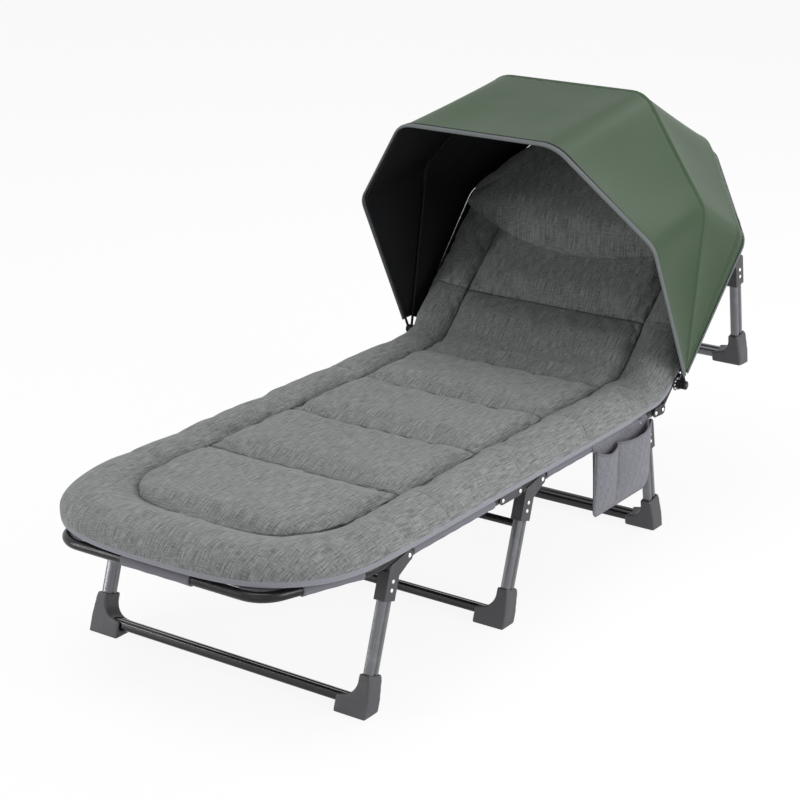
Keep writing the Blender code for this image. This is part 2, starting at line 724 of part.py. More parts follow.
def make_sling(name, outline, sleeves, level, finish, parent=None):
    """A flat cloth over the rails with sewn sleeves round them.

    outline is the sheet's edge; each sleeve is a centreline path round a rail.
    """
    low = level + RAIL_RADIUS + SLEEVE_GAP
    points, faces = facing_out(prism(outline, low, low + CLOTH, "Z"))
    body = mesh_object(name, points, faces, finish, parent)
    for i, path in enumerate(sleeves):
        shape = round_tube(path, RAIL_RADIUS + SLEEVE_GAP + CLOTH, 0.0, level)
        tool = cutter(f"{name}_sleeve_{i}", *shape, finish, parent)
        boolean(body, tool, "UNION")
    for i, path in enumerate(sleeves):
        ahead = (path[-1] - path[-2]).normalized() * 0.01
        behind = (path[0] - path[1]).normalized() * 0.01
        long_path = [path[0] + behind] + list(path[1:-1]) + [path[-1] + ahead]
        shape = round_tube(long_path, RAIL_RADIUS + SLEEVE_GAP, 0.0, level)
        tool = cutter(f"{name}_rail_{i}", *shape, finish, parent)
        boolean(body, tool, "DIFFERENCE")
    return body


def part_of_path(path, low, high):
    """The stretch of a path between two fractions of its length."""
    lengths = [0.0]
    for first, second in zip(path, path[1:]):
        lengths.append(lengths[-1] + (second - first).length)
    total = lengths[-1]

    def at(distance):
        for i in range(1, len(path)):
            if lengths[i] >= distance:
                share = (distance - lengths[i - 1]) / (lengths[i] - lengths[i - 1])
                return path[i - 1].lerp(path[i], share)
        return path[-1]

    made = [at(low * total)]
    for spot, distance in zip(path, lengths):
        if low * total + 0.004 < distance < high * total - 0.004:
            made.append(spot)
    made.append(at(high * total))
    return made


def straight(hand, low, high):
    return [Vector((hand * RAIL_X, low)), Vector((hand * RAIL_X, high))]


def make_slings(finishes, foot, back):
    """Three cloths, each with the sleeves that the legs and links leave room for."""
    edge = RAIL_X - SLING_EDGE_INSET
    narrow = RAIL_X - BRACKET_HALF - SLING_NARROW_GAP
    inset = RAIL_RADIUS / 10

    def shifted(path, by):
        return [Vector((p.x, p.y - by)) for p in path]

    # Foot section: sleeves on both rails, on the slanted stretches and on the end tube
    loop = foot_path(LINK_FOOT_Y)
    front_leg = FOOT_LEG_Y + BRACKET_EAR + SLEEVE_FROM_LEG
    rear = LINK_FOOT_Y - LINK_HALF_HEIGHT - SLEEVE_FROM_HINGE
    sheet = [(narrow, rear), (edge, rear), (edge, front_leg), (narrow, front_leg)]
    slant_top = FOOT_TUBE_Y + FOOT_TAPER - 0.022
    slant = [p for p in loop if p.x > 0 and p.y < slant_top]
    sheet += [(narrow, slant_top)] + [(p.x - 0.002, p.y + inset) for p in reversed(slant)]
    sheet += [(-x, y) for x, y in reversed(sheet)]
    sheet = [(x, y - LINK_FOOT_Y) for x, y in sheet]
    local = shifted(loop, LINK_FOOT_Y)
    sleeves = [straight(hand, front_leg - LINK_FOOT_Y, rear - LINK_FOOT_Y) for hand in (-1, 1)]
    near, far = SLANT_SLEEVE
    sleeves += [part_of_path(local, near, far), part_of_path(local, 1 - far, 1 - near),
                part_of_path(local, 0.5 - END_SLEEVE_HALF, 0.5 + END_SLEEVE_HALF)]
    make_sling("foot_sling", sheet, sleeves, 0.0, finishes["sling"], foot)

    # Seat section: sleeves between its two leg brackets
    start = LINK_SEAT_Y + LINK_HALF_HEIGHT + 0.006
    first = MIDDLE_LEG_Y + BRACKET_EAR + SEAT_SLEEVE_GAP
    last = REAR_LEG_Y - BRACKET_EAR - SEAT_SLEEVE_GAP
    end = HINGE_Y - HINGE_PLATE_LENGTH - HINGE_RADIUS
    half = [(narrow, start), (narrow, first), (edge, first), (edge, last), (narrow, last), (narrow, end)]
    sheet = half + [(-x, y) for x, y in reversed(half)]
    make_sling("seat_sling", sheet, [straight(hand, first, last) for hand in (-1, 1)], RAIL_Z, finishes["sling"])

    # Backrest: sleeves from the collars to the head leg, and on the head tube
    loop = head_path(BACK_TUBE_START)
    start = BACK_TUBE_START + COLLAR_LENGTH + 0.026
    stop = HEAD_LEG_FROM_HINGE - BRACKET_EAR - BACK_SLEEVE_GAP
    wide = BACK_LENGTH - HEAD_TAPER + 0.030
    half = [(narrow, BACK_TUBE_START + 0.03), (narrow, start), (edge, start), (edge, stop), (narrow, stop)]
    upper = [(p.x - 0.003, p.y - inset) for p in loop if p.x > 0 and p.y > wide]
    half += [(narrow, wide - 0.040)] + list(reversed(upper))
    sheet = half + [(-x, y) for x, y in reversed(half)]
    sleeves = [straight(hand, start, stop) for hand in (-1, 1)]
    sleeves += [part_of_path(loop, 0.5 - HEAD_SLEEVE_HALF, 0.5 + HEAD_SLEEVE_HALF)]
    make_sling("backrest_sling", sheet, sleeves, -HINGE_RISE, finishes["sling"], back)


def pad_rows(outline):
    """Rows of (x, y, distance in from the edge) across a pad, from its open end round to its closed end.

    outline is the left half of the pad's edge; each row runs in from the edge by
    its normal, over the rim, and straight across to the other side.
    """
    rows = []
    count = len(outline)
    inward_side = -1 if outline[1].y > outline[0].y else 1
    for i, spot in enumerate(outline):
        ahead = outline[min(i + 1, count - 1)] - spot
        behind = spot - outline[max(i - 1, 0)]
        if ahead.length < 1e-9:
            ahead = behind
        if behind.length < 1e-9:
            behind = ahead
        tangent = (ahead.normalized() + behind.normalized()).normalized()
        normal = Vector((-tangent.y, tangent.x)) * inward_side
        left = []
        for depth in PAD_RIM_STEPS + (PAD_RIM,):
            left.append((spot + normal * depth, depth))
        last = left[-1][0]
        row = [(p.x, p.y, e) for p, e in left]
        for k in range(1, PAD_PANEL_STEPS):
            share = k / PAD_PANEL_STEPS
            inward = PAD_RIM + min(share, 1 - share) * 2 * abs(last.x)
            row.append((last.x * (1 - 2 * share), last.y, inward))
        row += [(-p.x, p.y, e) for p, e in reversed(left)]
        rows.append(row)
    return rows


def pad_top(inward, channel):
    """Height of the pad's top: a rounded rim, then a panel crowned between its seams."""
    crest = PAD_RIM / 2
    if inward < crest:
        return PAD_HEIGHT * (1 - (1 - inward / crest) ** 3) ** 0.5
    if inward <= PAD_RIM:
        return PAD_HEIGHT - PAD_SEAM_DEPTH * (inward / crest - 1) ** 3
    valley = max(math.exp(-(inward - PAD_RIM) / PAD_PUFF), math.exp(-channel / PAD_PUFF))
    return PAD_HEIGHT - PAD_PANEL_DROP - (PAD_SEAM_DEPTH - PAD_PANEL_DROP) * valley


def pad_level(layer, inward, channel):
    """Height over the pad's base of a point on its top or its underside."""
    rise = PAD_UNDERSIDE * PAD_HEIGHT
    if layer == "top":
        if inward == 0.0:
            return PAD_SIDE_SEAM * PAD_HEIGHT
        return rise + (1 - PAD_UNDERSIDE) * pad_top(inward, channel)
    return rise * max(0.0, 1 - inward / (PAD_SIDE_SEAM * PAD_RIM)) ** 2


def make_pad(name, outline, seams, finish, parent, tilts=(0.0, 0.0)):
    """A quilted pad section: crowned top, sewn channels, drawn-in sides and a flat underside.

    tilts gives the slope of each end face, as y per metre of height.
    """
    rows = pad_rows(outline)
    across = len(rows[0])
    points = []
    closed_end = abs(outline[-1].x) < 0.9 * abs(outline[0].x)
    for index, row in enumerate(rows):
        for layer in ("top", "low"):
            for x, y, inward in row:
                channel = min([abs(y - seam) for seam in seams] or [1.0])
                height = PAD_BOTTOM + pad_level(layer, inward, channel)
                shift = 0.0
                if index == 0:
                    shift = tilts[0] * height
                if index == len(rows) - 1 and not closed_end:
                    shift = tilts[1] * height
                points.append((x, y + shift, height))

    def at(row, layer, k):
        return row * 2 * across + layer * across + k

    faces = []
    last = len(rows) - 1
    for i in range(last):
        for k in range(across - 1):
            faces.append((at(i, 0, k), at(i, 0, k + 1), at(i + 1, 0, k + 1), at(i + 1, 0, k)))
            faces.append((at(i, 1, k + 1), at(i, 1, k), at(i + 1, 1, k), at(i + 1, 1, k + 1)))
        faces.append((at(i, 1, 0), at(i, 0, 0), at(i + 1, 0, 0), at(i + 1, 1, 0)))
        faces.append((at(i, 0, across - 1), at(i, 1, across - 1), at(i + 1, 1, across - 1), at(i + 1, 0, across - 1)))
    for k in range(across - 1):
        faces.append((at(0, 0, k + 1), at(0, 0, k), at(0, 1, k), at(0, 1, k + 1)))
    if closed_end:
        rim_count = len(PAD_RIM_STEPS) + 1
        for layer in (0, 1):
            for k in range(rim_count - 2):
                quad = (at(last, layer, k), at(last, layer, k + 1),
                        at(last, layer, across - 2 - k), at(last, layer, across - 1 - k))
                faces.append(quad if layer == 0 else tuple(reversed(quad)))
            edge = [at(last, layer, k) for k in range(rim_count - 2, across - rim_count + 2)]
            faces.append(tuple(edge) if layer == 0 else tuple(reversed(edge)))
        faces.append((at(last, 0, 0), at(last, 0, across - 1), at(last, 1, across - 1), at(last, 1, 0)))
    else:
        for k in range(across - 1):
            faces.append((at(last, 0, k), at(last, 0, k + 1), at(last, 1, k + 1), at(last, 1, k)))
    return mesh_object(name, *facing_out((points, faces)), finish, parent, 60)


def resample(path, stations):
    """The path's points at the given distances along it."""
    lengths = [0.0]
    for first, second in zip(path, path[1:]):
        lengths.append(lengths[-1] + (second - first).length)
    made = []
    for wanted in stations:
        wanted = min(wanted, lengths[-1])
        for i in range(1, len(path)):
            if lengths[i] >= wanted - 1e-9:
                share = (wanted - lengths[i - 1]) / max(lengths[i] - lengths[i - 1], 1e-9)
                made.append(path[i - 1].lerp(path[i], share))
                break
    return made


def seam_stations(low, high, seams, spread=0.020):
    """Row places from low to high, with a close triple at each sewn channel."""
    marks = [low, high]
    for seam in seams:
        marks += [seam - spread, seam, seam + spread]
    marks = sorted(mark for mark in marks if low - 1e-6 <= mark <= high + 1e-6)
    made = [marks[0]]
    for mark in marks[1:]:
        gap = mark - made[-1]
        if gap < 0.004:
            continue
        pieces = max(1, round(gap / 0.085))
        made += [made[-1] + gap * (k + 1) / pieces for k in range(pieces)]
    return made


def make_pads(finishes, foot, link, back):
    """The mattress in the three stretches that the frame's sections carry, and the pillow."""
    seams = [FOOT_TUBE_Y + place for place in PAD_SEAMS]
    link_middle = (LINK_FOOT_Y + LINK_SEAT_Y) / 2
    slope = math.tan(BACK_ANGLE / 2)
    gap = CLEARANCE / 2

    # Foot stretch, closed by the rounded end
    end = FOOT_TUBE_Y - PAD_OVERHANG
    shoulder = end + PAD_END_DEPTH
    edge = [Vector((-PAD_HALF, link_middle - gap))]
    for k in range(25):
        turn = math.pi / 2 * k / 24
        edge.append(Vector((-PAD_HALF * math.cos(turn) ** (2 / PAD_END_ROUNDNESS),
                            shoulder - PAD_END_DEPTH * math.sin(turn) ** (2 / PAD_END_ROUNDNESS))))
    run = edge[0].y - shoulder
    total = sum((b - a).length for a, b in zip(edge, edge[1:]))
    local_seams = [seam for seam in seams if seam < link_middle]
    marks = [link_middle - gap - y for y in
             seam_stations(link_middle - gap - run, link_middle - gap, local_seams)]
    marks = sorted(marks)
    rest = total - marks[-1]
    marks += [marks[-1] + rest * (k + 1) / 13 for k in range(12)]
    edge = [Vector((p.x, p.y - LINK_FOOT_Y)) for p in resample(edge, marks)]
    make_pad("foot_pad", edge, [seam - LINK_FOOT_Y for seam in local_seams], finishes["pad"], foot)

    # Stretch over the fold, carried by the links
    turn = LINK_SEAT_Y + FOLD_PAD_END
    local_seams = [seam for seam in seams if seam > link_middle]
    places = seam_stations(link_middle + gap, turn - gap, local_seams)
    edge = [Vector((-PAD_HALF, place - LINK_FOOT_Y)) for place in places]
    make_pad("fold_pad", edge, [seam - LINK_FOOT_Y for seam in local_seams], finishes["pad"], link)

    # Seat stretch, its rear face parallel to the plane that halves the backrest's angle
    stop = HINGE_Y - gap - PAD_HINGE_ROOM
    places = seam_stations(turn + gap, stop, [seam for seam in local_seams if seam > turn])
    edge = [Vector((-PAD_HALF, place)) for place in places]
    pad = make_pad("seat_pad", edge, local_seams, finishes["pad"], None, (0.0, -slope))
    pad.location = (0.0, 0.0, RAIL_Z)

    # Backrest stretch, closed by the head end
    end = BACK_LENGTH + PAD_HEAD_OVERHANG
    begin = gap
    shoulder = HUB_ALONG + BOW_SIDE * BOW_SCALES[0] - 0.030
    corners = [(-PAD_HALF, begin), (-PAD_HALF, shoulder), (-HEAD_END_HALF - 0.008, end), (0.0, end)]
    edge = filleted(corners, (0.12, 0.09), 14)
    marks = [y - begin for y in seam_stations(begin, shoulder - 0.06, [PAD_BACK_SEAM])]
    total = sum((b - a).length for a, b in zip(edge, edge[1:]))
    rest = total - marks[-1]
    marks += [marks[-1] + rest * (k + 1) / 12 for k in range(11)]
    edge = resample(edge, marks)
    pad = make_pad("backrest_pad", edge, [PAD_BACK_SEAM], finishes["pad"], back, (slope, 0.0))
    pad.location = (0.0, 0.0, -HINGE_RISE)
    make_pillow(finishes["pad"], back, edge)


def make_pillow(finish, back, edge):
    """A plump head cushion over the whole head end, its free lower edge bowed.

    edge is the left half of the backrest pad's outline, which the cushion follows.
    """
    def half_at(y):
        for first, second in zip(edge, edge[1:]):
            if first.y <= y <= second.y:
                share = (y - first.y) / max(second.y - first.y, 1e-9)
                return -first.x + (first.x - second.x) * share - PILLOW_INSET
        return -edge[-1].x

    across = 14
    along = 9
    base = PAD_BOTTOM + PAD_HEIGHT + CLEARANCE - HINGE_RISE
    end = edge[-1].y - PILLOW_INSET
    points = []
    for i in range(along + 1):
        v = i / along
        for layer in (1, -1):
            for k in range(across + 1):
                u = 2 * k / across - 1
                u = math.copysign(abs(u) ** 0.8, u)
                widest = half_at(PILLOW_START + PILLOW_BOW * 0.1 + (end - PILLOW_START - PILLOW_BOW * 0.1) * v)
                x = widest * u
                low = PILLOW_START + PILLOW_BOW * x * x
                y = low + (end - low) * v
                x = min(abs(x), half_at(y)) * (1 if u > 0 else -1)
                swell = max(0.0, (1 - abs(u) ** 3.2) * (1 - abs(2 * v - 1) ** 3.2)) ** 0.5
                lift = 0.012 * max(0.0, 1 - 3.0 * swell)
                if layer > 0:
                    z = base + 0.013 + (PILLOW_HEIGHT - 0.013) * swell
                else:
                    z = base + lift
                points.append((x, y, z))
    width = across + 1

    def at(i, layer, k):
        return i * 2 * width + (0 if layer > 0 else width) + k

    faces = []
    for i in range(along):
        for k in range(across):
            faces.append((at(i, 1, k), at(i, 1, k + 1), at(i + 1, 1, k + 1), at(i + 1, 1, k)))
            faces.append((at(i, -1, k + 1), at(i, -1, k), at(i + 1, -1, k), at(i + 1, -1, k + 1)))
        for k, sense in ((0, 1), (across, -1)):
            quad = (at(i, -1, k), at(i, 1, k), at(i + 1, 1, k), at(i + 1, -1, k))
            faces.append(quad if sense > 0 else tuple(reversed(quad)))
    for i, sense in ((0, 1), (along, -1)):
        for k in range(across):
            quad = (at(i, 1, k + 1), at(i, 1, k), at(i, -1, k), at(i, -1, k + 1))
            faces.append(quad if sense > 0 else tuple(reversed(quad)))
    points, faces = welded(points, faces)
    return mesh_object("pillow", *facing_out((points, faces)), finish, back, 60)


def welded(points, faces, distance=1e-6):
    """Points that coincide become one, and faces lose their doubled corners."""
    kept = []
    index = {}
    mapping = []
    for point in points:
        key = tuple(round(value / distance) for value in point)
        if key not in index:
            index[key] = len(kept)
            kept.append(point)
        mapping.append(index[key])
    made = []
    for face in faces:
        ring = []
        for corner in face:
            if not ring or mapping[corner] != ring[-1]:
                ring.append(mapping[corner])
        if ring and ring[0] == ring[-1]:
            ring = ring[:-1]
        if len(ring) > 2:
            made.append(tuple(ring))
    return kept, made


def bow_path(index, steps=3):
    """Centreline of one bow in its own plane: up one side, over and down the other."""
    half = BOW_X[index]
    scale = BOW_SCALES[index]
    top_half = BOW_TOP_HALF * scale
    corners = [(-half, 0.008), (-half, BOW_SIDE * scale), (-top_half, BOW_TOP * scale),
               (top_half, BOW_TOP * scale), (half, BOW_SIDE * scale), (half, 0.008)]
    return filleted(corners, (BOW_BEND,) * 4, steps)


def make_bow(name, index, finishes, carrier):
    """A bent rod whose flattened ends turn on the hub pins."""
    rod = mesh_object(name, *round_tube(bow_path(index), BOW_RADIUS, 0.0, 0.0, 8), finishes["bow"], carrier)
    for hand in (-1, 1):
        x = hand * BOW_X[index]
        lug = disc((0.0, 0.0), BOW_LUG, x - BOW_RADIUS + CLEARANCE, x + BOW_RADIUS - CLEARANCE, 12)
        tool = cutter(f"{name}_lug_{hand_name(hand)}", *lug, finishes["bow"], carrier)
        boolean(rod, tool, "UNION")
        eye = disc((0.0, 0.0), PIN_RADIUS + CLEARANCE, x - 0.01, x + 0.01)
        tool = cutter(f"{name}_eye_{hand_name(hand)}", *eye, finishes["bow"], carrier)
        boolean(rod, tool, "DIFFERENCE")
    return rod


def panel_line(index, angle, outward, start=CANOPY_START):
    """The cloth's line over one bow, outward of its rod, as points about the hub axis."""
    half = BOW_X[index] + outward
    scale = BOW_SCALES[index]
    top_half = BOW_TOP_HALF * scale + 0.4 * outward
    side = BOW_SIDE * scale + 0.3 * outward
    top = BOW_TOP * scale + outward
    corners = [(half, start), (half, side), (top_half, top), (-top_half, top), (-half, side), (-half, start)]
    path = filleted(corners, (BOW_BEND + outward,) * 4, 4)
    return [(p.x, p.y * math.cos(angle), p.y * math.sin(angle)) for p in path]


def make_panel(name, stations, finish, carrier):
    """One cloth panel drawn straight from bow to bow, a thin shell outside their rods.

    Each station is a bow's index and an angle about the hub axis; a line halfway
    is added before the last one.
    """
    inner = BOW_RADIUS + BOW_SLACK
    layers = []
    for offset in (inner, inner + CANOPY_CLOTH):
        lines = [panel_line(index, angle, offset) for index, angle in stations]
        halfway = [tuple((p + q) / 2 for p, q in zip(a, b)) for a, b in zip(lines[-2], lines[-1])]
        layers.append(lines[:-1] + [halfway, lines[-1]])
    points = [point for lines in layers for line in lines for point in line]
    count = len(layers[0])
    length = len(layers[0][0])

    def at(layer, line, k):
        return (layer * count + line) * length + k

    faces = []
    for line in range(count - 1):
        for k in range(length - 1):
            faces.append((at(0, line, k), at(0, line, k + 1), at(0, line + 1, k + 1), at(0, line + 1, k)))
            faces.append((at(1, line, k + 1), at(1, line, k), at(1, line + 1, k), at(1, line + 1, k + 1)))
        for k in (0, length - 1):
            quad = (at(0, line, k), at(0, line + 1, k), at(1, line + 1, k), at(1, line, k))
            faces.append(quad if k == 0 else tuple(reversed(quad)))
    for line in (0, count - 1):
        for k in range(length - 1):
            quad = (at(0, line, k + 1), at(0, line, k), at(1, line, k), at(1, line, k + 1))
            faces.append(quad if line == 0 else tuple(reversed(quad)))
    return mesh_object(name, *facing_out((points, faces)), finish, carrier, 30)


def make_hub(hand, finishes, back):
    """Hub bracket: clip round the backrest tube, plate outside it and the canopy pin."""
    name = f"canopy_hub_{hand_name(hand)}"
    near = BACK_TUBE_START + COLLAR_LENGTH + CLEARANCE
    reach = RAIL_RADIUS + HUB_CLIP_WALL
    clip = [(near, -HINGE_RISE - reach), (near + HUB_CLIP_LENGTH, -HINGE_RISE - reach),
            (near + HUB_CLIP_LENGTH, -HINGE_RISE + reach), (near, -HINGE_RISE + reach)]
    block = facing_out(prism(clip, RAIL_X - reach, HUB_PLATE_X + 0.001))
    body = mesh_object(name, *mirror_side(block, hand), finishes["bracket"], back)
    outline = arc((HUB_ALONG, HUB_RISE), HUB_RADIUS, -20, 200, 12)
    outline += arc((HUB_ALONG + 0.010, -0.004), 0.011, 215, 330, 6)
    plate = facing_out(prism(outline, HUB_PLATE_X, HUB_PLATE_X + HUB_PLATE))
    tool = cutter(name + "_plate", *mirror_side(plate, hand), finishes["bracket"], back)
    boolean(body, tool, "UNION")
    path = [Vector((RAIL_X, HUB_ALONG - 0.05)), Vector((RAIL_X, HUB_ALONG + 0.08))]
    bore = round_tube(path, RAIL_ROOM, 0.0, -HINGE_RISE)
    tool = cutter(name + "_bore", *mirror_side(bore, hand), finishes["bracket"], back)
    boolean(body, tool, "DIFFERENCE")
    end = BOW_X[-1] + BOW_RADIUS + CLEARANCE
    shank = [disc((HUB_ALONG, HUB_RISE), PIN_RADIUS, HUB_PLATE_X + 0.001, end + 0.0005),
             rivet_head((HUB_ALONG, HUB_RISE), end + 0.0006, 1, 0.0062, 0.0016, 12)]
    tool = cutter(name + "_pin", *mirror_side(shank[0], hand), finishes["rivet"], back)
    boolean(body, tool, "UNION")
    tool = cutter(name + "_head", *mirror_side(shank[1], hand), finishes["rivet"], back)
    boolean(body, tool, "UNION")
    return body


def make_pocket(finish):
    """Two-compartment side pocket hung over the left rail, open at the top."""
    inner = RAIL_X + POCKET_SIDE
    outer = inner + POCKET_THICKNESS
    y0 = LINK_SEAT_Y + POCKET_START
    y1 = y0 + POCKET_LENGTH
    top = RAIL_Z + POCKET_TOP
    bottom = top - POCKET_DEPTH
    corner = POCKET_CORNER
    near = POCKET_FRONT_CORNER
    floor = bottom + POCKET_FLOOR
    outline = [(y0, top), (y0, bottom + near)]
    outline += arc((y0 + near, bottom + near), near, 180, 270, 3)
    outline += arc((y1 - corner, bottom + corner), corner, 270, 360, 5) + [(y1, top)]
    body = mesh_object("side_pocket", *facing_out(prism(outline, inner, outer)), finish)
    split = y0 + POCKET_DIVIDER * POCKET_LENGTH
    wall = CLOTH
    beyond = POCKET_LENGTH / 20
    above = top + beyond
    for i, (low, high) in enumerate(((y0 + wall, split - wall / 2), (split + wall / 2, y1 - wall))):
        room = [(low, above), (low, floor), (high, floor), (high, above)]
        if i == 1:
            room = [(low, above), (low, floor), (high - corner, floor)]
            room += arc((high - corner, floor + corner), corner, 280, 360, 4) + [(high, above)]
        shape = facing_out(prism(room, inner + wall, outer - wall))
        tool = cutter(f"side_pocket_room_{i}", *shape, finish)
        boolean(body, tool, "DIFFERENCE")
    mouth = top - POCKET_MOUTH_DROP
    span = POCKET_LENGTH + 2 * beyond
    scoop = [(y0 - beyond, above), (y0 - beyond, mouth)]
    scoop += [(y0 - beyond + span * k / 8, mouth - POCKET_SCOOP * math.sin(math.pi * k / 8)) for k in range(1, 8)]
    scoop += [(y1 + beyond, mouth), (y1 + beyond, above)]
    tool = cutter("side_pocket_scoop", *facing_out(prism(scoop, inner + wall + CLEARANCE, outer + beyond)), finish)
    boolean(body, tool, "DIFFERENCE")
    sleeve = RAIL_RADIUS + SLEEVE_GAP + CLOTH + CLEARANCE
    side = RAIL_X + sleeve
    hem = top - POCKET_FLAP_DROP
    flap = [(inner, hem), (inner + wall, hem), (inner + wall, RAIL_Z + 2 * wall),
            (side, RAIL_Z + 2 * wall), (side, RAIL_Z + wall), (inner, RAIL_Z + wall)]
    tool = cutter("side_pocket_flap", *facing_out(prism(flap, y0 + beyond, y1 - POCKET_FLAP_SHORT, "Y")), finish)
    boolean(body, tool, "UNION")
    return body


def build():
    clear_scene()
    finishes = {
        "frame": material("frame", (0.018, 0.018, 0.020), 0.42, 0.6),
        "leg": material("leg", (0.11, 0.11, 0.12), 0.33, 0.85),
        "bracket": material("bracket", (0.05, 0.05, 0.055), 0.45, 0.5),
        "cap": material("cap", (0.055, 0.057, 0.060), 0.55),
        "rivet": material("rivet", (0.75, 0.75, 0.76), 0.3, 1.0),
        "sling": material("sling", (0.17, 0.17, 0.19), 0.9),
        "pad": material("pad", (0.145, 0.16, 0.152), 0.95),
        "canopy": material("canopy", (0.085, 0.125, 0.085), 0.45),
        "bow": material("bow", (0.02, 0.02, 0.022), 0.4, 0.6),
    }
    foot = empty("foot_section_axis", (0.0, LINK_FOOT_Y, RAIL_Z))
    link = empty("fold_link_axis", (0.0, LINK_FOOT_Y, RAIL_Z))
    back = empty("backrest_axis", (0.0, HINGE_Y, HINGE_Z), BACK_ANGLE)
    foot_leg = empty("foot_leg_axis", (0.0, -FOOT_LEG_FROM_LINK, -PIVOT_DROP), -FOOT_LEAN, foot)
    middle_leg = empty("middle_leg_axis", (0.0, MIDDLE_LEG_Y, PIVOT_Z), -FOOT_LEAN)
    rear_leg = empty("rear_leg_axis", (0.0, REAR_LEG_Y, PIVOT_Z), REAR_LEAN)
    head_leg = empty("head_leg_axis", (0.0, HEAD_LEG_FROM_HINGE, -HINGE_RISE - PIVOT_DROP), HEAD_REST_LEAN, back)

    make_rails(finishes, foot, back)
    make_leg("foot_leg", -1, -FOOT_LEAN, finishes, foot_leg, foot)
    make_leg("middle_leg", -1, -FOOT_LEAN, finishes, middle_leg, None)
    make_leg("rear_leg", 1, REAR_LEAN, finishes, rear_leg, None)
    make_leg("head_leg", 1, REAR_LEAN, finishes, head_leg, back)
    make_brace(FOOT_LEAN, finishes["frame"], middle_leg)
    for hand in (-1, 1):
        make_link(hand, finishes, link)
        make_hinge_housing(hand, finishes)
        make_knuckle(hand, finishes, back)
        make_hub(hand, finishes, back)
    make_slings(finishes, foot, back)
    make_pads(finishes, foot, link, back)
    make_pocket(finishes["sling"])

    hub = empty("canopy_hub_axis", (0.0, HUB_ALONG, HUB_RISE), -BACK_ANGLE, back)
    for name, index in (("rear_bow", 0), ("middle_bow", 1), ("front_bow", 2)):
        carrier = empty(name + "_axis", (0.0, 0.0, 0.0), BOW_ANGLES[index], hub)
        make_bow(name, index, finishes, carrier)
    rear, middle, front = BOW_ANGLES
    cloth = finishes["canopy"]
    make_panel("canopy_front_panel", [(2, front + HEM_LIP), (2, front), (1, middle + PANEL_SPLIT)], cloth, hub)
    make_panel("canopy_middle_panel", [(1, middle - PANEL_SPLIT), (0, rear + PANEL_SPLIT)], cloth, hub)
    make_panel("canopy_rear_panel", [(0, rear - PANEL_SPLIT), (0, HEM_ANGLE)], cloth, hub)
    bpy.context.view_layer.update()


build()
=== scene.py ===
# %% [markdown]
# # Folding cot with a canopy
#
# This lesson dresses a folding camp cot in Blender. The imported model gives the frame: tubes, legs,
# brackets, rivets, all in metres and already in place. What the frame can't give is cloth that swells and
# creases, and finishes that catch the light, so that is what the cells below make.
#
# The frame is loaded first and is never moved.

import math

import bmesh
import bpy
import numpy as np
from mathutils import Matrix, Vector


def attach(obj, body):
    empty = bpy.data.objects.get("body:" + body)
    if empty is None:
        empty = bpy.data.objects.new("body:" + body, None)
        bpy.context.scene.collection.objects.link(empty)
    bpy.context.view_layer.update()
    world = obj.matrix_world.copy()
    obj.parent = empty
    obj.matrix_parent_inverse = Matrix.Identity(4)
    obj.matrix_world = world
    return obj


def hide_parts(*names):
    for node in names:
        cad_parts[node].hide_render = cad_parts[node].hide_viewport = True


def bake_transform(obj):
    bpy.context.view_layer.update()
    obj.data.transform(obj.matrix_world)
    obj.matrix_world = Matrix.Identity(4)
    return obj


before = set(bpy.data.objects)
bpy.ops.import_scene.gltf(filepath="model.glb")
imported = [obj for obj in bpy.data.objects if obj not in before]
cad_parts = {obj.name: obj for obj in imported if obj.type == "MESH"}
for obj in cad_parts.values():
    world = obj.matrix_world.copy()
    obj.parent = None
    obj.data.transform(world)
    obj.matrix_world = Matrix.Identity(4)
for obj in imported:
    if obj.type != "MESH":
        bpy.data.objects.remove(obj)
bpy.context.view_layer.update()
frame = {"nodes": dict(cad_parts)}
nodes = frame["nodes"]

# %% [markdown]
# ## The camera
#
# The picture was taken from the foot end, a little to the sleeper's left and above the pad, with a long
# lens. The place below was solved from the cot's straight rails, which meet in one vanishing point, and
# from its feet, which all stand on one floor. Working from known lines is more reliable than turning a
# camera by eye.

# %% Place the camera
CAMERA_SPOT = (2.3471, -3.4725, 1.8032)
AZIMUTH = math.radians(34.9)
ELEVATION = math.radians(19.16)
LENS = 97.19
LENS_SHIFT_UP = -0.0029

camera = bpy.data.objects.new("camera", bpy.data.cameras.new("camera"))
bpy.context.scene.collection.objects.link(camera)
camera.data.sensor_width = 36.0
camera.data.lens = LENS
camera.data.shift_y = LENS_SHIFT_UP
camera.location = CAMERA_SPOT
backwards = Vector((math.sin(AZIMUTH) * math.cos(ELEVATION), -math.cos(AZIMUTH) * math.cos(ELEVATION),
                    math.sin(ELEVATION)))
camera.rotation_euler = (-backwards).to_track_quat("-Z", "Y").to_euler()
bpy.context.scene.camera = camera
print("camera at", [round(value, 3) for value in camera.location], "lens", LENS)

# %% [markdown]
# ## The studio
#
# A product picture like this one has a white sweep, one broad soft light from above, and weaker light
# from both sides that draws bright lines along the tubes. Area lamps do this: the larger the lamp, the
# softer the edge of its shadow. The floor looks white to the camera but only bounces a little light back.

# %% Build the floor and the lamps
FLOOR_SIZE = 40.0
KEY_POWER = 165.0
SIDE_POWER = 31.0
FRONT_POWER = 4.2
STRIP_POWER = 32.0
BACK_POWER = 30.0


def add_lamp(name, spot, target, size, power):
    """A square soft light that faces a point."""
    lamp = bpy.data.objects.new(name, bpy.data.lights.new(name, "AREA"))
    lamp.data.shape = "SQUARE"
    lamp.data.size = size
    lamp.data.energy = power
    lamp.location = spot
    lamp.rotation_euler = (Vector(target) - Vector(spot)).to_track_quat("-Z", "Y").to_euler()
    bpy.context.scene.collection.objects.link(lamp)
    return lamp


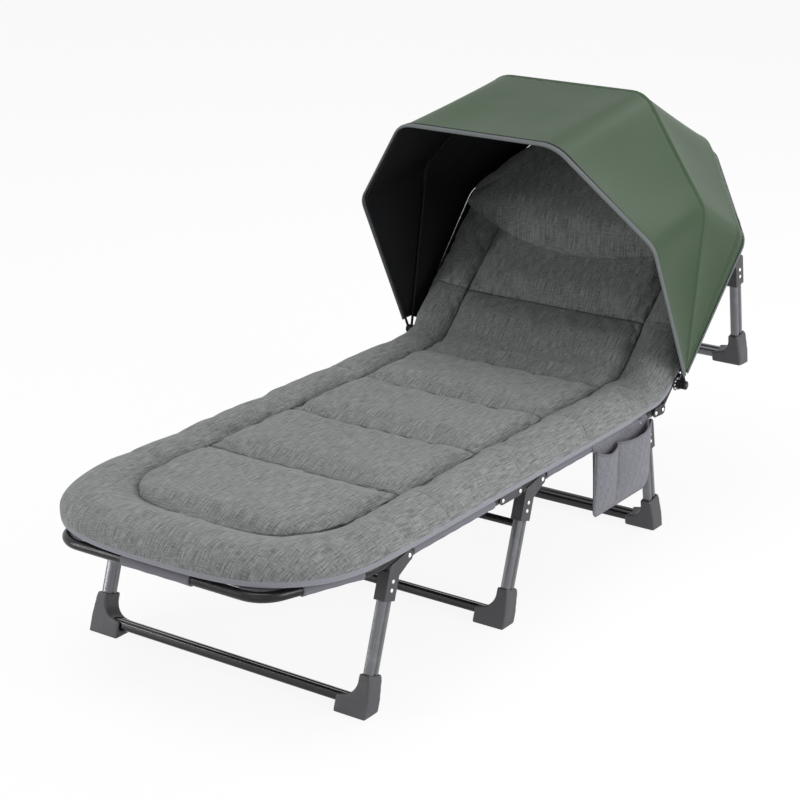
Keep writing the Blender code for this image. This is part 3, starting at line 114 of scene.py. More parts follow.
bpy.ops.object.select_all(action="DESELECT")
bpy.ops.mesh.primitive_plane_add(size=FLOOR_SIZE, location=(0.0, 0.0, -0.0005))
floor = bpy.context.object
floor.name = "floor"
add_lamp("key", (-0.9, -0.8, 6.0), (0.0, -0.1, 0.3), 3.8, KEY_POWER)
add_lamp("right_side", (3.2, 0.1, 1.4), (0.2, 0.3, 0.4), 2.0, 2.1 * SIDE_POWER)
add_lamp("rear", (0.8, 3.2, 2.6), (0.0, 0.3, 0.6), 1.8, BACK_POWER)
add_lamp("front", (0.9, -3.6, 1.1), (0.0, 0.6, 0.5), 1.4, FRONT_POWER)
strip = add_lamp("left_strip", (-2.3, -2.9, 1.1), (0.0, -0.6, 0.2), 0.26, STRIP_POWER)
strip.data.shape = "RECTANGLE"
strip.data.size_y = 1.9

world = bpy.data.worlds.new("studio")
world.use_nodes = True
bpy.context.scene.world = world
bpy.context.scene.view_settings.view_transform = "Standard"

# %% [markdown]
# ## Shader arithmetic
#
# Every finish here is computed, never a picture. Chaining math nodes by hand is slow to read, so one
# small class wraps a socket and overloads the arithmetic operators: `1 - mask * 0.5` then builds its
# nodes itself. A second helper adds any other node by type, sets its options first and then its inputs.

# %% Write the shader helpers


class Wire:
    """A node socket that can be used in arithmetic."""

    def __init__(self, tree, socket):
        self.tree = tree
        self.socket = socket

    def _maths(self, operation, first, second=None):
        return self.tree.add("ShaderNodeMath", {"operation": operation}, {0: first, 1: second})

    def __add__(self, other):
        return self._maths("ADD", self, other)

    __radd__ = __add__

    def __sub__(self, other):
        return self._maths("SUBTRACT", self, other)

    def __rsub__(self, other):
        return self._maths("SUBTRACT", other, self)

    def __mul__(self, other):
        return self._maths("MULTIPLY", self, other)

    __rmul__ = __mul__

    def sine(self):
        return self._maths("SINE", self)

    def size(self):
        return self._maths("ABSOLUTE", self)

    def clipped(self):
        return self._maths("MAXIMUM", self._maths("MINIMUM", self, 1.0), 0.0)


def opaque(value):
    """Gives a colour of three numbers its fourth; anything else stays as it is."""
    return (*value, 1.0) if isinstance(value, tuple) and len(value) == 3 else value


class Finish:
    """A material and the nodes that drive it."""

    def __init__(self, name):
        self.material = bpy.data.materials.new(name)
        self.material.use_nodes = True
        self.tree = self.material.node_tree
        self.shader = self.tree.nodes["Principled BSDF"]

    def add(self, kind, options=None, inputs=None, output=0):
        """Adds a node; an input is a number, a colour or another Wire."""
        node = self.tree.nodes.new(kind)
        for key, value in (options or {}).items():
            setattr(node, key, value)
        for key, value in (inputs or {}).items():
            if isinstance(value, Wire):
                self.tree.links.new(value.socket, node.inputs[key])
            elif value is not None:
                node.inputs[key].default_value = value
        return Wire(self, node.outputs[output])

    def set(self, **sockets):
        """Sets the main shader's sockets, named with underscores for spaces."""
        for key, value in sockets.items():
            socket = self.shader.inputs[key.replace("_", " ")]
            if isinstance(value, Wire):
                self.tree.links.new(value.socket, socket)
            else:
                socket.default_value = opaque(value)
        return self

    def place(self):
        """Object coordinates: the cot's own metres."""
        return self.add("ShaderNodeTexCoord", output="Object")

    def attribute(self, name):
        return self.add("ShaderNodeAttribute", {"attribute_name": name}, output="Vector")

    def split(self, vector):
        node = self.tree.nodes.new("ShaderNodeSeparateXYZ")
        self.tree.links.new(vector.socket, node.inputs[0])
        return [Wire(self, socket) for socket in node.outputs]

    def join(self, x, y, z):
        return self.add("ShaderNodeCombineXYZ", None, {0: x, 1: y, 2: z})

    def noise(self, vector, scale, detail=2.0, roughness=0.5):
        return self.add("ShaderNodeTexNoise", None,
                        {"Vector": vector, "Scale": scale, "Detail": detail, "Roughness": roughness})

    def mix(self, share, first, second):
        """A colour between two colours."""
        return self.add("ShaderNodeMix", {"data_type": "RGBA"},
                        {0: share, 6: opaque(first), 7: opaque(second)}, output=2)

    def spread(self, value, low, high, new_low=0.0, new_high=1.0):
        """The value's range stretched to a new one, and held at its ends."""
        return self.add("ShaderNodeMapRange", None, {0: value, 1: low, 2: high, 3: new_low, 4: new_high})

    def bump(self, height, depth, strength=1.0):
        """Small relief: depth is in metres."""
        self.set(Normal=self.add("ShaderNodeBump", None,
                                 {"Strength": strength, "Distance": depth, "Height": height}))
        return self


print("helpers ready")

# %% [markdown]
# ## Floor and background
#
# A pure white background must not come from strong lamps, which would bleach the cot. Instead the floor
# and the world look white only to the camera and to mirror-like reflections, while all other rays see a
# plain grey. The mix keeps a share of the real floor, so that the cot still casts a faint shadow on it.

# %% Finish the floor and the world
AMBIENT = 0.42
SHADOW_SHARE = 0.10


def seen_directly(tree_owner):
    """One where a ray comes from the camera or a glossy or clear surface."""
    node = tree_owner.tree.nodes.new("ShaderNodeLightPath")
    rays = [Wire(tree_owner, node.outputs[name]) for name in
            ("Is Camera Ray", "Is Glossy Ray", "Is Transmission Ray")]
    return (rays[0] + rays[1] + rays[2]).clipped()


floor_finish = Finish("studio_floor")
floor_finish.set(Base_Color=(0.88, 0.88, 0.88), Roughness=0.9)
glow = floor_finish.add("ShaderNodeEmission", None, {"Color": (1.0, 1.0, 1.0, 1.0), "Strength": 1.0})
white_share = seen_directly(floor_finish) * (1.0 - SHADOW_SHARE)
blend = floor_finish.add("ShaderNodeMixShader", None,
                         {0: white_share, 1: Wire(floor_finish, floor_finish.shader.outputs[0]), 2: glow})
output = floor_finish.tree.nodes["Material Output"]
floor_finish.tree.links.new(blend.socket, output.inputs["Surface"])
floor.data.materials.append(floor_finish.material)


class Sky(Finish):
    """The world's nodes, used in the same way as a material's."""

    def __init__(self, owner):
        self.tree = owner.node_tree
        self.shader = self.tree.nodes["Background"]


sky = Sky(world)
sky.set(Color=(1.0, 1.0, 1.0), Strength=sky.spread(seen_directly(sky), 0.0, 1.0, AMBIENT, 1.0))
print("white to the camera, ambient", AMBIENT)

# %% [markdown]
# ## Metal and plastic finishes
#
# The bent tubes are black powder coat: a satin skin with a very fine orange-peel surface. The leg tubes
# are a dark metallic lacquer that throws a hard bright line along each rounded edge, and the brackets a
# charcoal coat, duller than both. The legs' cross bars, down to inside the caps, are a painted shade: black
# for the dark reflections under the cot. The foot caps are moulded plastic with a fine grain. Small scuffs
# in the roughness, never in the colour alone, make a coat look used rather than painted on by a computer.

# %% Make the metal and plastic finishes
BLACK_COAT = (0.0075, 0.0075, 0.0090)
LEG_LACQUER = (0.135, 0.138, 0.148)
# Painted shade on the legs: the coat turns black up to this level above the floor, blended over the fade.
BAR_SHADE_TO, BAR_SHADE_FADE = 0.058, 0.01
BRACKET_COAT = (0.040, 0.040, 0.045)
CAP_PLASTIC = (0.056, 0.057, 0.063)
RIVET_STEEL = (0.86, 0.86, 0.87)


def coated(name, colour, roughness, metallic, coat=0.0, grain=900.0, relief=0.00003, gloss=0.5,
           shade_to=None):
    """A painted or moulded skin: orange peel, soft scuffs, lighter worn patches, and painted shade black up
    to a level.
    """
    finish = Finish(name)
    place = finish.place()
    peel = finish.noise(place, grain, 2.0)
    wear = finish.noise(place, 38.0, 1.5, 0.5)
    lighter = tuple(min(1.0, 1.5 * part + 0.006) for part in colour)
    patches = finish.spread(wear, 0.52, 0.74)
    cover = finish.mix(patches * 0.5, colour, lighter)
    # Painted shade: below the level the colour turns black, for the cross bars' dark look under the cot.
    if shade_to:
        level = finish.split(place)[2]
        cover = finish.mix(finish.spread(level, shade_to, shade_to + BAR_SHADE_FADE), BLACK_COAT, cover)
    finish.set(Base_Color=cover, Metallic=metallic,
               Roughness=finish.spread(wear, 0.3, 0.7, roughness - 0.02, roughness + 0.05),
               Coat_Weight=coat, Coat_Roughness=0.12, Specular_IOR_Level=gloss)
    return finish.bump(peel, relief, 0.6)


tube_black = coated("tube_black", BLACK_COAT, 0.27, 0.0, gloss=0.34)
rod_black = coated("rod_black", BLACK_COAT, 0.60, 0.0, gloss=0.25)
leg_metal = coated("leg_metal", LEG_LACQUER, 0.30, 0.60, 0.35, 600.0, 0.0, shade_to=BAR_SHADE_TO)
bracket_coat = coated("bracket_coat", BRACKET_COAT, 0.40, 0.15, 0.0)
cap_plastic = coated("cap_plastic", CAP_PLASTIC, 0.50, 0.0, 0.0, 1400.0, 0.00005)

rivet_steel = Finish("rivet_steel")
brushing = rivet_steel.noise(rivet_steel.place(), 700.0, 3.0)
rivet_steel.set(Base_Color=RIVET_STEEL, Metallic=0.65,
                Roughness=rivet_steel.spread(brushing, 0.3, 0.7, 0.22, 0.36))
hard_finishes = (tube_black, rod_black, leg_metal, bracket_coat, cap_plastic, rivet_steel)
print("hard finishes:", [finish.material.name for finish in hard_finishes])

# %% [markdown]
# ## Dress the frame's own pieces
#
# The brackets, links, caps and rivets already have the right shape, so they stay and only get a finish.
# Real pressed and moulded parts have no knife edges, though. A Weld modifier joins the loose triangles
# and a small Bevel rounds what is left sharp, which gives each edge its thin line of light without
# touching the mesh.

# %% Give each frame piece its finish and soft edges
EDGE_ANGLE = math.radians(32)
WELD_DISTANCE = 0.00002


def soften(piece, width, segments=2):
    """Rounds the sharp edges of a piece that comes as loose triangles."""
    piece.modifiers.new("weld", "WELD").merge_threshold = WELD_DISTANCE
    bevel = piece.modifiers.new("edges", "BEVEL")
    bevel.width = width
    bevel.segments = segments
    bevel.limit_method = "ANGLE"
    bevel.angle_limit = EDGE_ANGLE
    bevel.use_clamp_overlap = True
    bevel.harden_normals = False
    piece.modifiers.new("normals", "WEIGHTED_NORMAL").keep_sharp = True


def mould(piece, cell=0.0016, rounds=40):
    """Rounds a moulded piece all over: its skin is laid out again in small cells and then relaxed."""
    piece.modifiers.new("weld", "WELD").merge_threshold = WELD_DISTANCE
    skin = piece.modifiers.new("skin", "REMESH")
    skin.mode = "VOXEL"
    skin.voxel_size = cell
    skin.use_smooth_shade = True
    relax = piece.modifiers.new("relax", "SMOOTH")
    relax.factor = 0.5
    relax.iterations = rounds


def dress(piece, finish):
    """Puts one finish on a frame piece."""
    piece.data.materials.clear()
    piece.data.materials.append(finish.material)


FINISH_OF_STEM = (("_bracket_", bracket_coat, 0.0006), ("_cap_", cap_plastic, 0.0030),
                  ("_pin_", rivet_steel, 0.0003), ("leg_tube", leg_metal, 0.0),
                  ("fold_link", bracket_coat, 0.0004), ("hinge_", tube_black, 0.0004),
                  ("canopy_hub", bracket_coat, 0.0004), ("_bow", rod_black, 0.0),
                  ("seat_rail", tube_black, 0.0), ("foot_tube", tube_black, 0.0),
                  ("backrest_tube", tube_black, 0.0), ("brace", tube_black, 0.0))
for name, node in nodes.items():
    for stem, finish, rounding in FINISH_OF_STEM:
        if stem in name:
            dress(node, finish)
            if stem == "_cap_":
                mould(node)
            elif rounding:
                soften(node, rounding)
            break
print("dressed:", sum(bool(node.modifiers) for node in nodes.values()), "pieces have softened edges")

# %% [markdown]
# ## The mattress: its plan
#
# The mattress is one long padded sleeve: a thick roll all round, sewn down along a ring, and inside the
# ring flat panels parted by straight seams. A grid that crosses the curved ring at random would leave a
# ragged seam. So the plan is drawn first as a patchwork in which every seam is a line of vertices: strips
# follow the rounded edge, rows fill the straight panels, and the two rounded end panels are filled
# between their four sides. It is drawn flat, as the cloth is cut, and only bent over the backrest hinge
# at the end.

# %% Measure the mattress on the frame and draw its outline
PAD_HALF = 0.335
PAD_RIM = 0.107
HINGE_Y = 0.405
RAIL_Z = 0.270
PAD_BASE = RAIL_Z + 0.0121
BACK_TURN = math.radians(43)
FOOT_END = -0.874
HEAD_END = 1.0322
FOOT_ROUND = 0.30
FOOT_SHAPE = 2 / 3.0
HEAD_SHOULDER = 0.801
HEAD_HALF = 0.173
SEAM_ROWS = (-0.436, -0.173, 0.075, 0.308, 0.555)
CELL = 0.0105


def rounded(corners, radius, steps):
    """A polyline with its inner corners rounded."""
    path = [Vector(corners[0])]
    for before, corner, after in zip(corners, corners[1:], corners[2:]):
        corner, back, ahead = Vector(corner), Vector(before) - Vector(corner), Vector(after) - Vector(corner)
        back.normalize()
        ahead.normalize()
        half = back.angle(ahead) / 2
        centre = corner + (back + ahead).normalized() * (radius / math.sin(half))
        start = corner + back * (radius / math.tan(half)) - centre
        sense = 1 if back.cross(ahead) < 0 else -1
        for k in range(steps + 1):
            path.append(centre + Matrix.Rotation(sense * (math.pi - 2 * half) * k / steps, 2) @ start)
    path.append(Vector(corners[-1]))
    return path


def mattress_edge():
    """The left half of the mattress's edge, from the middle of the foot end to the middle of the head end."""
    edge = []
    for k in range(121):
        turn = math.pi / 2 * (1 - k / 120)
        edge.append(Vector((-PAD_HALF * math.cos(turn) ** FOOT_SHAPE,
                            FOOT_END + FOOT_ROUND * (1 - math.sin(turn) ** FOOT_SHAPE))))
    edge[0].x = 0.0
    side = [Vector((-PAD_HALF, edge[-1].y + (HEAD_SHOULDER - edge[-1].y) * k / 200)) for k in range(1, 160)]
    head = rounded([side[-1], (-PAD_HALF, HEAD_SHOULDER), (-HEAD_HALF, HEAD_END), (0.0, HEAD_END)], 0.10, 30)
    return edge + side + head[1:]


def with_lengths(points):
    """The running length at each point."""
    return np.concatenate([[0.0], np.cumsum([(b - a).length for a, b in zip(points, points[1:])])])


edge = mattress_edge()
print("mattress edge, half of it:", round(with_lengths(edge)[-1], 3), "m")

# %% [markdown]
# The ring seam lies a fixed way in from the edge. To have the strips of the roll meet the rows of the
# panels, both are cut at the same stations: each cross seam, and even steps between.

# %% Set out the stations along the edge


def inward_normals(points):
    """The unit vectors that point from the left edge into the mattress."""
    made = []
    for i in range(len(points)):
        along = points[min(i + 1, len(points) - 1)] - points[max(i - 1, 0)]
        made.append(Vector((along.y, -along.x)).normalized())
    made[0], made[-1] = Vector((0.0, 1.0)), Vector((0.0, -1.0))
    return made


FOOT_WIDER, WIDER_FROM, WIDER_OVER = 0.036, -0.60, 0.18


def roll_width(spot):
    """The width of the roll beside a point of the edge: it grows towards the foot end."""
    share = min(max((WIDER_FROM - spot.y) / WIDER_OVER, 0.0), 1.0)
    return PAD_RIM + FOOT_WIDER * share * share * (3 - 2 * share)


normals = inward_normals(edge)
ring = [spot + normal * roll_width(spot) for spot, normal in zip(edge, normals)]
ring[0].x = ring[-1].x = 0.0
ring_length = with_lengths(ring)
ring_y = np.array([spot.y for spot in ring])
seam_marks = [float(np.interp(row, ring_y, ring_length)) for row in SEAM_ROWS]
columns = 2 * round(1.25 * (PAD_HALF - PAD_RIM) / CELL)
CROWDING = 0.72
END_CROWDING = 1.35


def crowded(share):
    """A share from 0 to 1 whose even steps are drawn towards both ends."""
    return share - CROWDING * math.sin(2 * math.pi * share) / (2 * math.pi)


def stations(marks, total, spacing, end_least):
    """Lengths along the ring: every mark, with steps between that grow finer towards the marks."""
    stops = [0.0] + list(marks) + [total]
    made = [0.0]
    counts = []
    for i, (low, high) in enumerate(zip(stops, stops[1:])):
        count = max(4, round(1.25 * (high - low) / spacing))
        shares = [(k + 1) / count for k in range(count)]
        if i == 0:
            count = max(count, end_least)
            shares = [1 - (1 - (k + 1) / count) ** END_CROWDING for k in range(count)]
        elif i == len(stops) - 2:
            count = max(count, end_least)
            shares = [((k + 1) / count) ** END_CROWDING for k in range(count)]
        else:
            shares = [crowded(share) for share in shares]
        counts.append(count)
        made += [low + (high - low) * share for share in shares]
    return made, counts


spots, counts = stations(seam_marks, ring_length[-1], CELL, columns // 2 + 4)
fractions = np.interp(spots, ring_length, np.arange(len(ring)))


def sampled(values):
    """Points of a list of vectors at the fractional places of the stations."""
    return [values[int(f)].lerp(values[min(int(f) + 1, len(values) - 1)], f - int(f)) for f in fractions]


edge_spots, edge_normals = sampled(edge), sampled(normals)
print("stations:", len(edge_spots), "columns:", columns, "steps between seams:", counts)

# %% [markdown]
# The panels come next. A straight panel is a plain grid. A rounded end panel is a Coons patch: each inner
# point is blended from the four sides around it, so the rows fan out smoothly into the curve.

# %% Fill the plan with quads


class Patchwork:
    """Quads on shared points: two points at the same place are one."""

    def __init__(self):
        self.points, self.faces, self.index = [], [], {}

    def at(self, x, y, layer):
        key = (round(x, 5) + 0.0, round(y, 5) + 0.0, layer)
        if key not in self.index:
            self.index[key] = len(self.points)
            self.points.append(key)
        return self.index[key]

    def grid(self, rows, layer):
        flip = layer == "under"
        for first, second in zip(rows, rows[1:]):
            for a, b, c, d in zip(first, first[1:], second[1:], second):
                quad = [self.at(p.x, p.y, layer) for p in (a, b, c, d)]
                if len(set(quad)) > 2:
                    self.faces.append(quad[::-1] if flip else quad)


def mirrored(spot):
    return Vector((-spot.x, spot.y))


def coons(low, high, left, right):
    """Rows of points between four sides; low and high run the same way, and so do left and right."""
    rows = []
    last_u, last_v = len(low) - 1, len(left) - 1
    for j in range(last_v + 1):
        v = j / last_v
        row = []
        for i in range(last_u + 1):
            u = i / last_u
            spot = low[i] * (1 - v) + high[i] * v + left[j] * (1 - u) + right[j] * u
            spot -= (low[0] * (1 - u) + low[-1] * u) * (1 - v) + (high[0] * (1 - u) + high[-1] * u) * v
            row.append(spot)
        rows.append(row)
    return rows


def across(spot):
    """A straight row from a point on the left ring to its mirror image."""
    return [Vector((spot.x * (1 - 2 * crowded(k / columns)), spot.y)) for k in range(columns + 1)]


ring_spots = [spot + normal * roll_width(spot) for spot, normal in zip(edge_spots, edge_normals)]
ring_spots[0].x = ring_spots[-1].x = 0.0
first_seam, last_seam = counts[0], len(ring_spots) - 1 - counts[-1]
panels = [across(spot) for spot in ring_spots[first_seam:last_seam + 1]]


def end_panel(seam_index, tip_index):
    """The rows of a rounded end panel, from its straight seam to its tip."""
    step = 1 if tip_index > seam_index else -1
    arc = [ring_spots[i] for i in range(seam_index, tip_index + step, step)]
    whole = arc + [mirrored(spot) for spot in reversed(arc[:-1])]
    side = (len(whole) - 1 - columns) // 2
    return coons(across(arc[0]), whole[side:side + columns + 1], whole[:side + 1], whole[::-1][:side + 1])


foot_panel = end_panel(first_seam, 0)[::-1]
head_panel = end_panel(last_seam, len(ring_spots) - 1)
print("rows:", len(foot_panel), len(panels), len(head_panel))

# %% [markdown]
# ## The mattress: its swell
#
# Every point of the plan now gets a height. Across the roll the section is an arc that starts at the seam
# under the edge, passes the widest point and the crest, and dips to the ring seam. Inside, each panel is
# a low crown. This is only the start for the cloth simulation, so it is drawn a little slimmer than the
# real pad.

# %% Raise the plan to a closed, slightly slack mattress
SEAM_LEVEL = 0.038
PANEL_RISE, SEAM_WALL = 0.0150, 0.030
ROLL_SECTION = ((1.00, 0.0380), (0.978, 0.0440), (0.945, 0.0490), (0.89, 0.0535), (0.81, 0.0565),
                (0.71, 0.0585), (0.61, 0.0595), (0.51, 0.0595), (0.41, 0.0585), (0.31, 0.0560),
                (0.215, 0.0515), (0.13, 0.0455), (0.06, 0.0380), (0.018, 0.0310), (0.004, 0.0250))
LOWER_EDGE = (("side_seam", 0.0010, 0.0185), ("band", 0.0008, 0.0070), ("belly", 0.0090, 0.0))
BAND_FLARE, FLARE_END, FLARE_FADE = 0.0065, 0.31, 0.08


def patch_heights():
    """The mattress as points with heights, faces and each point's place in the flat cloth."""
    work = Patchwork()
    for layer in ("top", "under"):
        work.grid(foot_panel + panels[1:] + head_panel[1:], layer)
    section = [("top" if k == 0 else f"roll{k}", PAD_RIM * share, level)
               for k, (share, level) in enumerate(ROLL_SECTION)] + list(LOWER_EDGE)
    section.append(("under", PAD_RIM, 0.0))
    heights, cloth = {}, {}
    for side in (1, -1):
        table = []
        unrolled = 0.0
        for k, (name, inset, level) in enumerate(section):
            if k:
                unrolled += math.hypot(inset - section[k - 1][1], level - section[k - 1][2])
            row = []
            for spot, normal in zip(edge_spots, edge_normals):
                flare = BAND_FLARE * min(max((FLARE_END - spot.y) / FLARE_FADE, 0.0), 1.0)
                out = flare if name in ("side_seam", "band", "belly") else 0.0
                wide = roll_width(spot) / PAD_RIM
                lies = spot + normal * (inset * wide - out)
                flat = spot + normal * ((PAD_RIM - unrolled) * wide)
                if spot is edge_spots[0] or spot is edge_spots[-1]:
                    lies.x = flat.x = 0.0
                index = work.at(side * lies.x, lies.y, name)
                heights[index] = level
                if name != "under":
                    cloth[index] = (side * flat.x, flat.y, 0.0)
                row.append(index)
            table.append(row)
        for first, second in zip(table, table[1:]):
            for a, b, c, d in zip(first, first[1:], second[1:], second):
                work.faces.append([a, b, c, d] if side > 0 else [d, c, b, a])
    return work, heights, cloth


def line_points(spots, spacing=0.002):
    """Points close together along a line, for measuring how far the line is."""
    lengths = with_lengths(spots)
    wanted = np.arange(0.0, lengths[-1], spacing)
    return np.stack([np.interp(wanted, lengths, [spot[axis] for spot in spots]) for axis in (0, 1)], axis=1)


def distance_to(lines, spots):
    """How far each (x, y) of an array is from the nearest point of the lines."""
    gap = np.empty(len(spots))
    for start in range(0, len(spots), 4000):
        part = spots[start:start + 4000, None, :] - lines[None]
        gap[start:start + 4000] = np.sqrt((part ** 2).sum(axis=2).min(axis=1))
    return gap


right_ring = line_points(ring)
cross_lines = [line_points([Vector((-PAD_HALF + PAD_RIM, row)), Vector((PAD_HALF - PAD_RIM, row))])
               for row in SEAM_ROWS]
seam_lines = np.concatenate([right_ring, right_ring * (-1.0, 1.0)] + cross_lines)
work, heights, cloth = patch_heights()
plan = np.array([point[:2] for point in work.points])
share = np.minimum(distance_to(seam_lines, plan) / SEAM_WALL, 1.0)
crown = SEAM_LEVEL + PANEL_RISE * np.sqrt(1 - (1 - share) ** 2)
mattress_points = []
for index, (x, y, layer) in enumerate(work.points):
    level = crown[index] if layer == "top" and index not in heights else heights.get(index, 0.0)
    mattress_points.append((x, y, float(level)))

mattress_mesh = bpy.data.meshes.new("mattress")
mattress_mesh.from_pydata(mattress_points, [], work.faces)
mattress_mesh.validate()
side_seam_level = LOWER_EDGE[0][2]
for face in mattress_mesh.polygons:
    face.material_index = int(max(mattress_points[i][2] for i in face.vertices) < side_seam_level + 0.0005)
flat_place = mattress_mesh.attributes.new("cloth_place", "FLOAT_VECTOR", "POINT")
flat_place.data.foreach_set("vector", [part for index, point in enumerate(mattress_points)
                                       for part in cloth.get(index, (point[0], point[1], 0.0))])
mattress = bpy.data.objects.new("mattress", mattress_mesh)
bpy.context.scene.collection.objects.link(mattress)
print("mattress:", len(mattress_points), "points,", len(work.faces), "faces")

# %% [markdown]
# ## The mattress: the cloth simulation
#
# Blender's cloth is now blown up from inside. The seams and the underside are pinned, as the stitches and
# the sling hold them, and everything between is free to swell. The cloth is also let out by a few
# percent, so that it is slightly too large for the stitches, and it gathers into small puckers beside
# them. Last, no point may have moved further than a set way, which keeps the mattress inside its place on
# the frame.

# %% Blow up the mattress
CLOTH_FRAMES = 20
LARGEST_MOVE = 0.011


def pinned_group(piece, indices):
    group = piece.vertex_groups.new(name="pinned")
    group.add([int(i) for i in indices], 1.0, "REPLACE")
    return group


def blow_up(piece, pressure, slack, largest_move, frames=CLOTH_FRAMES, stiffness=15.0, bending=0.5):
    """Runs Blender's cloth with air pressure and no gravity, caps how far points move, and applies it."""
    before = np.array([v.co for v in piece.data.vertices])
    cloth = piece.modifiers.new("cloth", "CLOTH")
    cloth.settings.quality = 5
    cloth.settings.use_pressure = True
    cloth.settings.uniform_pressure_force = pressure
    cloth.settings.shrink_min = -slack
    cloth.settings.tension_stiffness = stiffness
    cloth.settings.compression_stiffness = stiffness
    cloth.settings.bending_stiffness = bending
    cloth.settings.effector_weights.gravity = 0.0
    cloth.collision_settings.use_collision = False
    if "pinned" in piece.vertex_groups:
        cloth.settings.vertex_group_mass = "pinned"
    cloth.point_cache.frame_start, cloth.point_cache.frame_end = 1, frames
    scene = bpy.context.scene
    for number in range(1, frames + 1):
        scene.frame_set(number)
    depsgraph = bpy.context.evaluated_depsgraph_get()
    after = np.array([v.co for v in piece.evaluated_get(depsgraph).data.vertices])
    piece.modifiers.remove(cloth)
    scene.frame_set(1)
    moved = after - before
    ways = np.linalg.norm(moved, axis=1, keepdims=True)
    held = before + moved * np.minimum(1.0, largest_move / np.maximum(ways, 1e-9))
    piece.data.vertices.foreach_set("co", held.astype(np.float32).ravel())
    piece.data.update()
    print(f"{piece.name}: moved {1000 * ways.mean():.1f} mm on average, {1000 * ways.max():.1f} at most")


def on_seam(x, y):
    """Whether a point of the plan lies on a cross seam inside the ring."""
    return abs(x) < PAD_HALF - PAD_RIM + 0.001 and min(abs(y - row) for row in SEAM_ROWS) < 1e-4


ring_keys = {(round(side * spot.x, 5) + 0.0, round(spot.y, 5) + 0.0)
             for spot in ring_spots for side in (1, -1)}
pins = [i for i, (x, y, layer) in enumerate(work.points)
        if layer in ("under", "belly", "band", "side_seam")
        or (layer == "top" and ((x, y) in ring_keys or on_seam(x, y)))]
pinned_group(mattress, pins)
blow_up(mattress, 4.0, 0.03, LARGEST_MOVE)

# %% [markdown]
# ## The mattress: smoothed, bent over the hinge and parted
#
# One level of subdivision rounds what the simulation left angular. Then the flat mattress is laid on the
# frame: up to the hinge it stays flat, over the hinge it runs round an arc, and beyond it climbs with the
# backrest. Its flat coordinates are kept first in an attribute, because the weave follows the cloth and
# not the room.
#
# The real mattress is one piece that folds twice. A piece here can bend over one joint only, so it is
# parted at two of its sewn channels, where a cut can't be seen, and each part is closed again.

# %% Lay the mattress on the frame
TURN_RADIUS = 0.130


def keep_seam_gap(piece, lines, lowest):
    """Stores how far each point lies from the nearest seam; points under the lowest level count as far."""
    spots = np.array([v.co for v in piece.data.vertices])
    gap = np.where(spots[:, 2] > lowest, distance_to(lines, spots[:, :2]), 1.0)
    piece.data.attributes.new("seam_gap", "FLOAT", "POINT").data.foreach_set("value", gap.astype(np.float32))


def laid(spots):
    """Flat places (x, along, height over the sling) turned to places on the bent frame."""
    spots = np.asarray(spots, float)
    x, along, height = spots[:, 0], spots[:, 1], spots[:, 2]
    reach = TURN_RADIUS * math.tan(BACK_TURN / 2)
    start = HINGE_Y - (PAD_BASE - RAIL_Z) * math.tan(BACK_TURN / 2) - reach
    turn = np.clip((along - start) / TURN_RADIUS, 0.0, BACK_TURN)
    beyond = np.maximum(0.0, along - start - TURN_RADIUS * BACK_TURN)
    before = np.minimum(along - start, 0.0)
    y = start + before + (TURN_RADIUS - height) * np.sin(turn) + beyond * math.cos(BACK_TURN)
    z = PAD_BASE + TURN_RADIUS - (TURN_RADIUS - height) * np.cos(turn) + beyond * math.sin(BACK_TURN)
    return np.stack([x, y, z], axis=1)


def select_only(piece):
    bpy.ops.object.select_all(action="DESELECT")
    piece.select_set(True)
    bpy.context.view_layer.objects.active = piece


def subdivided(piece, levels=1):
    modifier = piece.modifiers.new("smooth", "SUBSURF")
    modifier.levels = modifier.render_levels = levels
    select_only(piece)
    bpy.ops.object.modifier_apply(modifier=modifier.name)


def lay_on_frame(piece):
    spots = laid([v.co for v in piece.data.vertices])
    piece.data.vertices.foreach_set("co", spots.astype(np.float32).ravel())
    piece.data.update()


subdivided(mattress)
# The distance to the seams drives the melange's painted crease shade and its groove.
keep_seam_gap(mattress, seam_lines, SEAM_LEVEL / 2)
lay_on_frame(mattress)
print("mattress laid:", len(mattress.data.vertices), "points")

# %% [markdown]
# Both cuts run through a sewn channel. Each open end is then filled with one flat face, which lies
# against its neighbour and is never seen while the cot is open.

# %% Part it at two sewn channels


def part_between(source, name, low, high):
    """The part of a laid cushion between two places along the flat cloth, closed at its cuts."""
    part = source.copy()
    part.data = source.data.copy()
    part.name = part.data.name = name
    bpy.context.scene.collection.objects.link(part)
    shape = bmesh.new()
    shape.from_mesh(part.data)
    place = shape.verts.layers.float_vector["cloth_place"]
    outside = []
    for face in shape.faces:
        middle = sum((v[place].y for v in face.verts)) / len(face.verts)
        face.smooth = True
        if not low < middle < high:
            outside.append(face)
    bmesh.ops.delete(shape, geom=outside, context="FACES")
    rim = [e for e in shape.edges if e.is_boundary]
    caps = bmesh.ops.holes_fill(shape, edges=rim, sides=0)["faces"]
    for face in caps:
        face.smooth = False
        face.material_index = 1
    shape.to_mesh(part.data)
    shape.free()
    return part


mattress_foot = part_between(mattress, "mattress_foot", -9.0, SEAM_ROWS[1])
mattress_seat = part_between(mattress, "mattress_seat", SEAM_ROWS[1], SEAM_ROWS[2])
mattress_back = part_between(mattress, "mattress_back", SEAM_ROWS[2], 9.0)
bpy.data.objects.remove(mattress)
print("parts:", [len(part.data.polygons) for part in (mattress_foot, mattress_seat, mattress_back)])

# %% [markdown]
# ## The melange cloth
#
# The cover is woven from yarn that was spun from light and dark fibres, so each thread changes shade
# along its length. Two noises, each stretched a long way along one thread direction, give those slubs,
# and they are mixed by a fine over-and-under pattern of the weave itself. A broad, weak noise keeps large
# areas from looking printed. Along the seams the colour gets a painted shade, a dark line in each crease.
# The underside is a plain grey cloth, seen only as a thin band under the side seam.

# %% Make the cloths
# The painted crease shade: half width of its dark line, width of the wider darkening, and its colour.
CREASE_HALF, CREASE_SHADE = 0.0026, 0.014
CREASE_SHADE_COLOUR = (0.012, 0.013, 0.014)
FOLD_Y = (-0.231, -0.169)


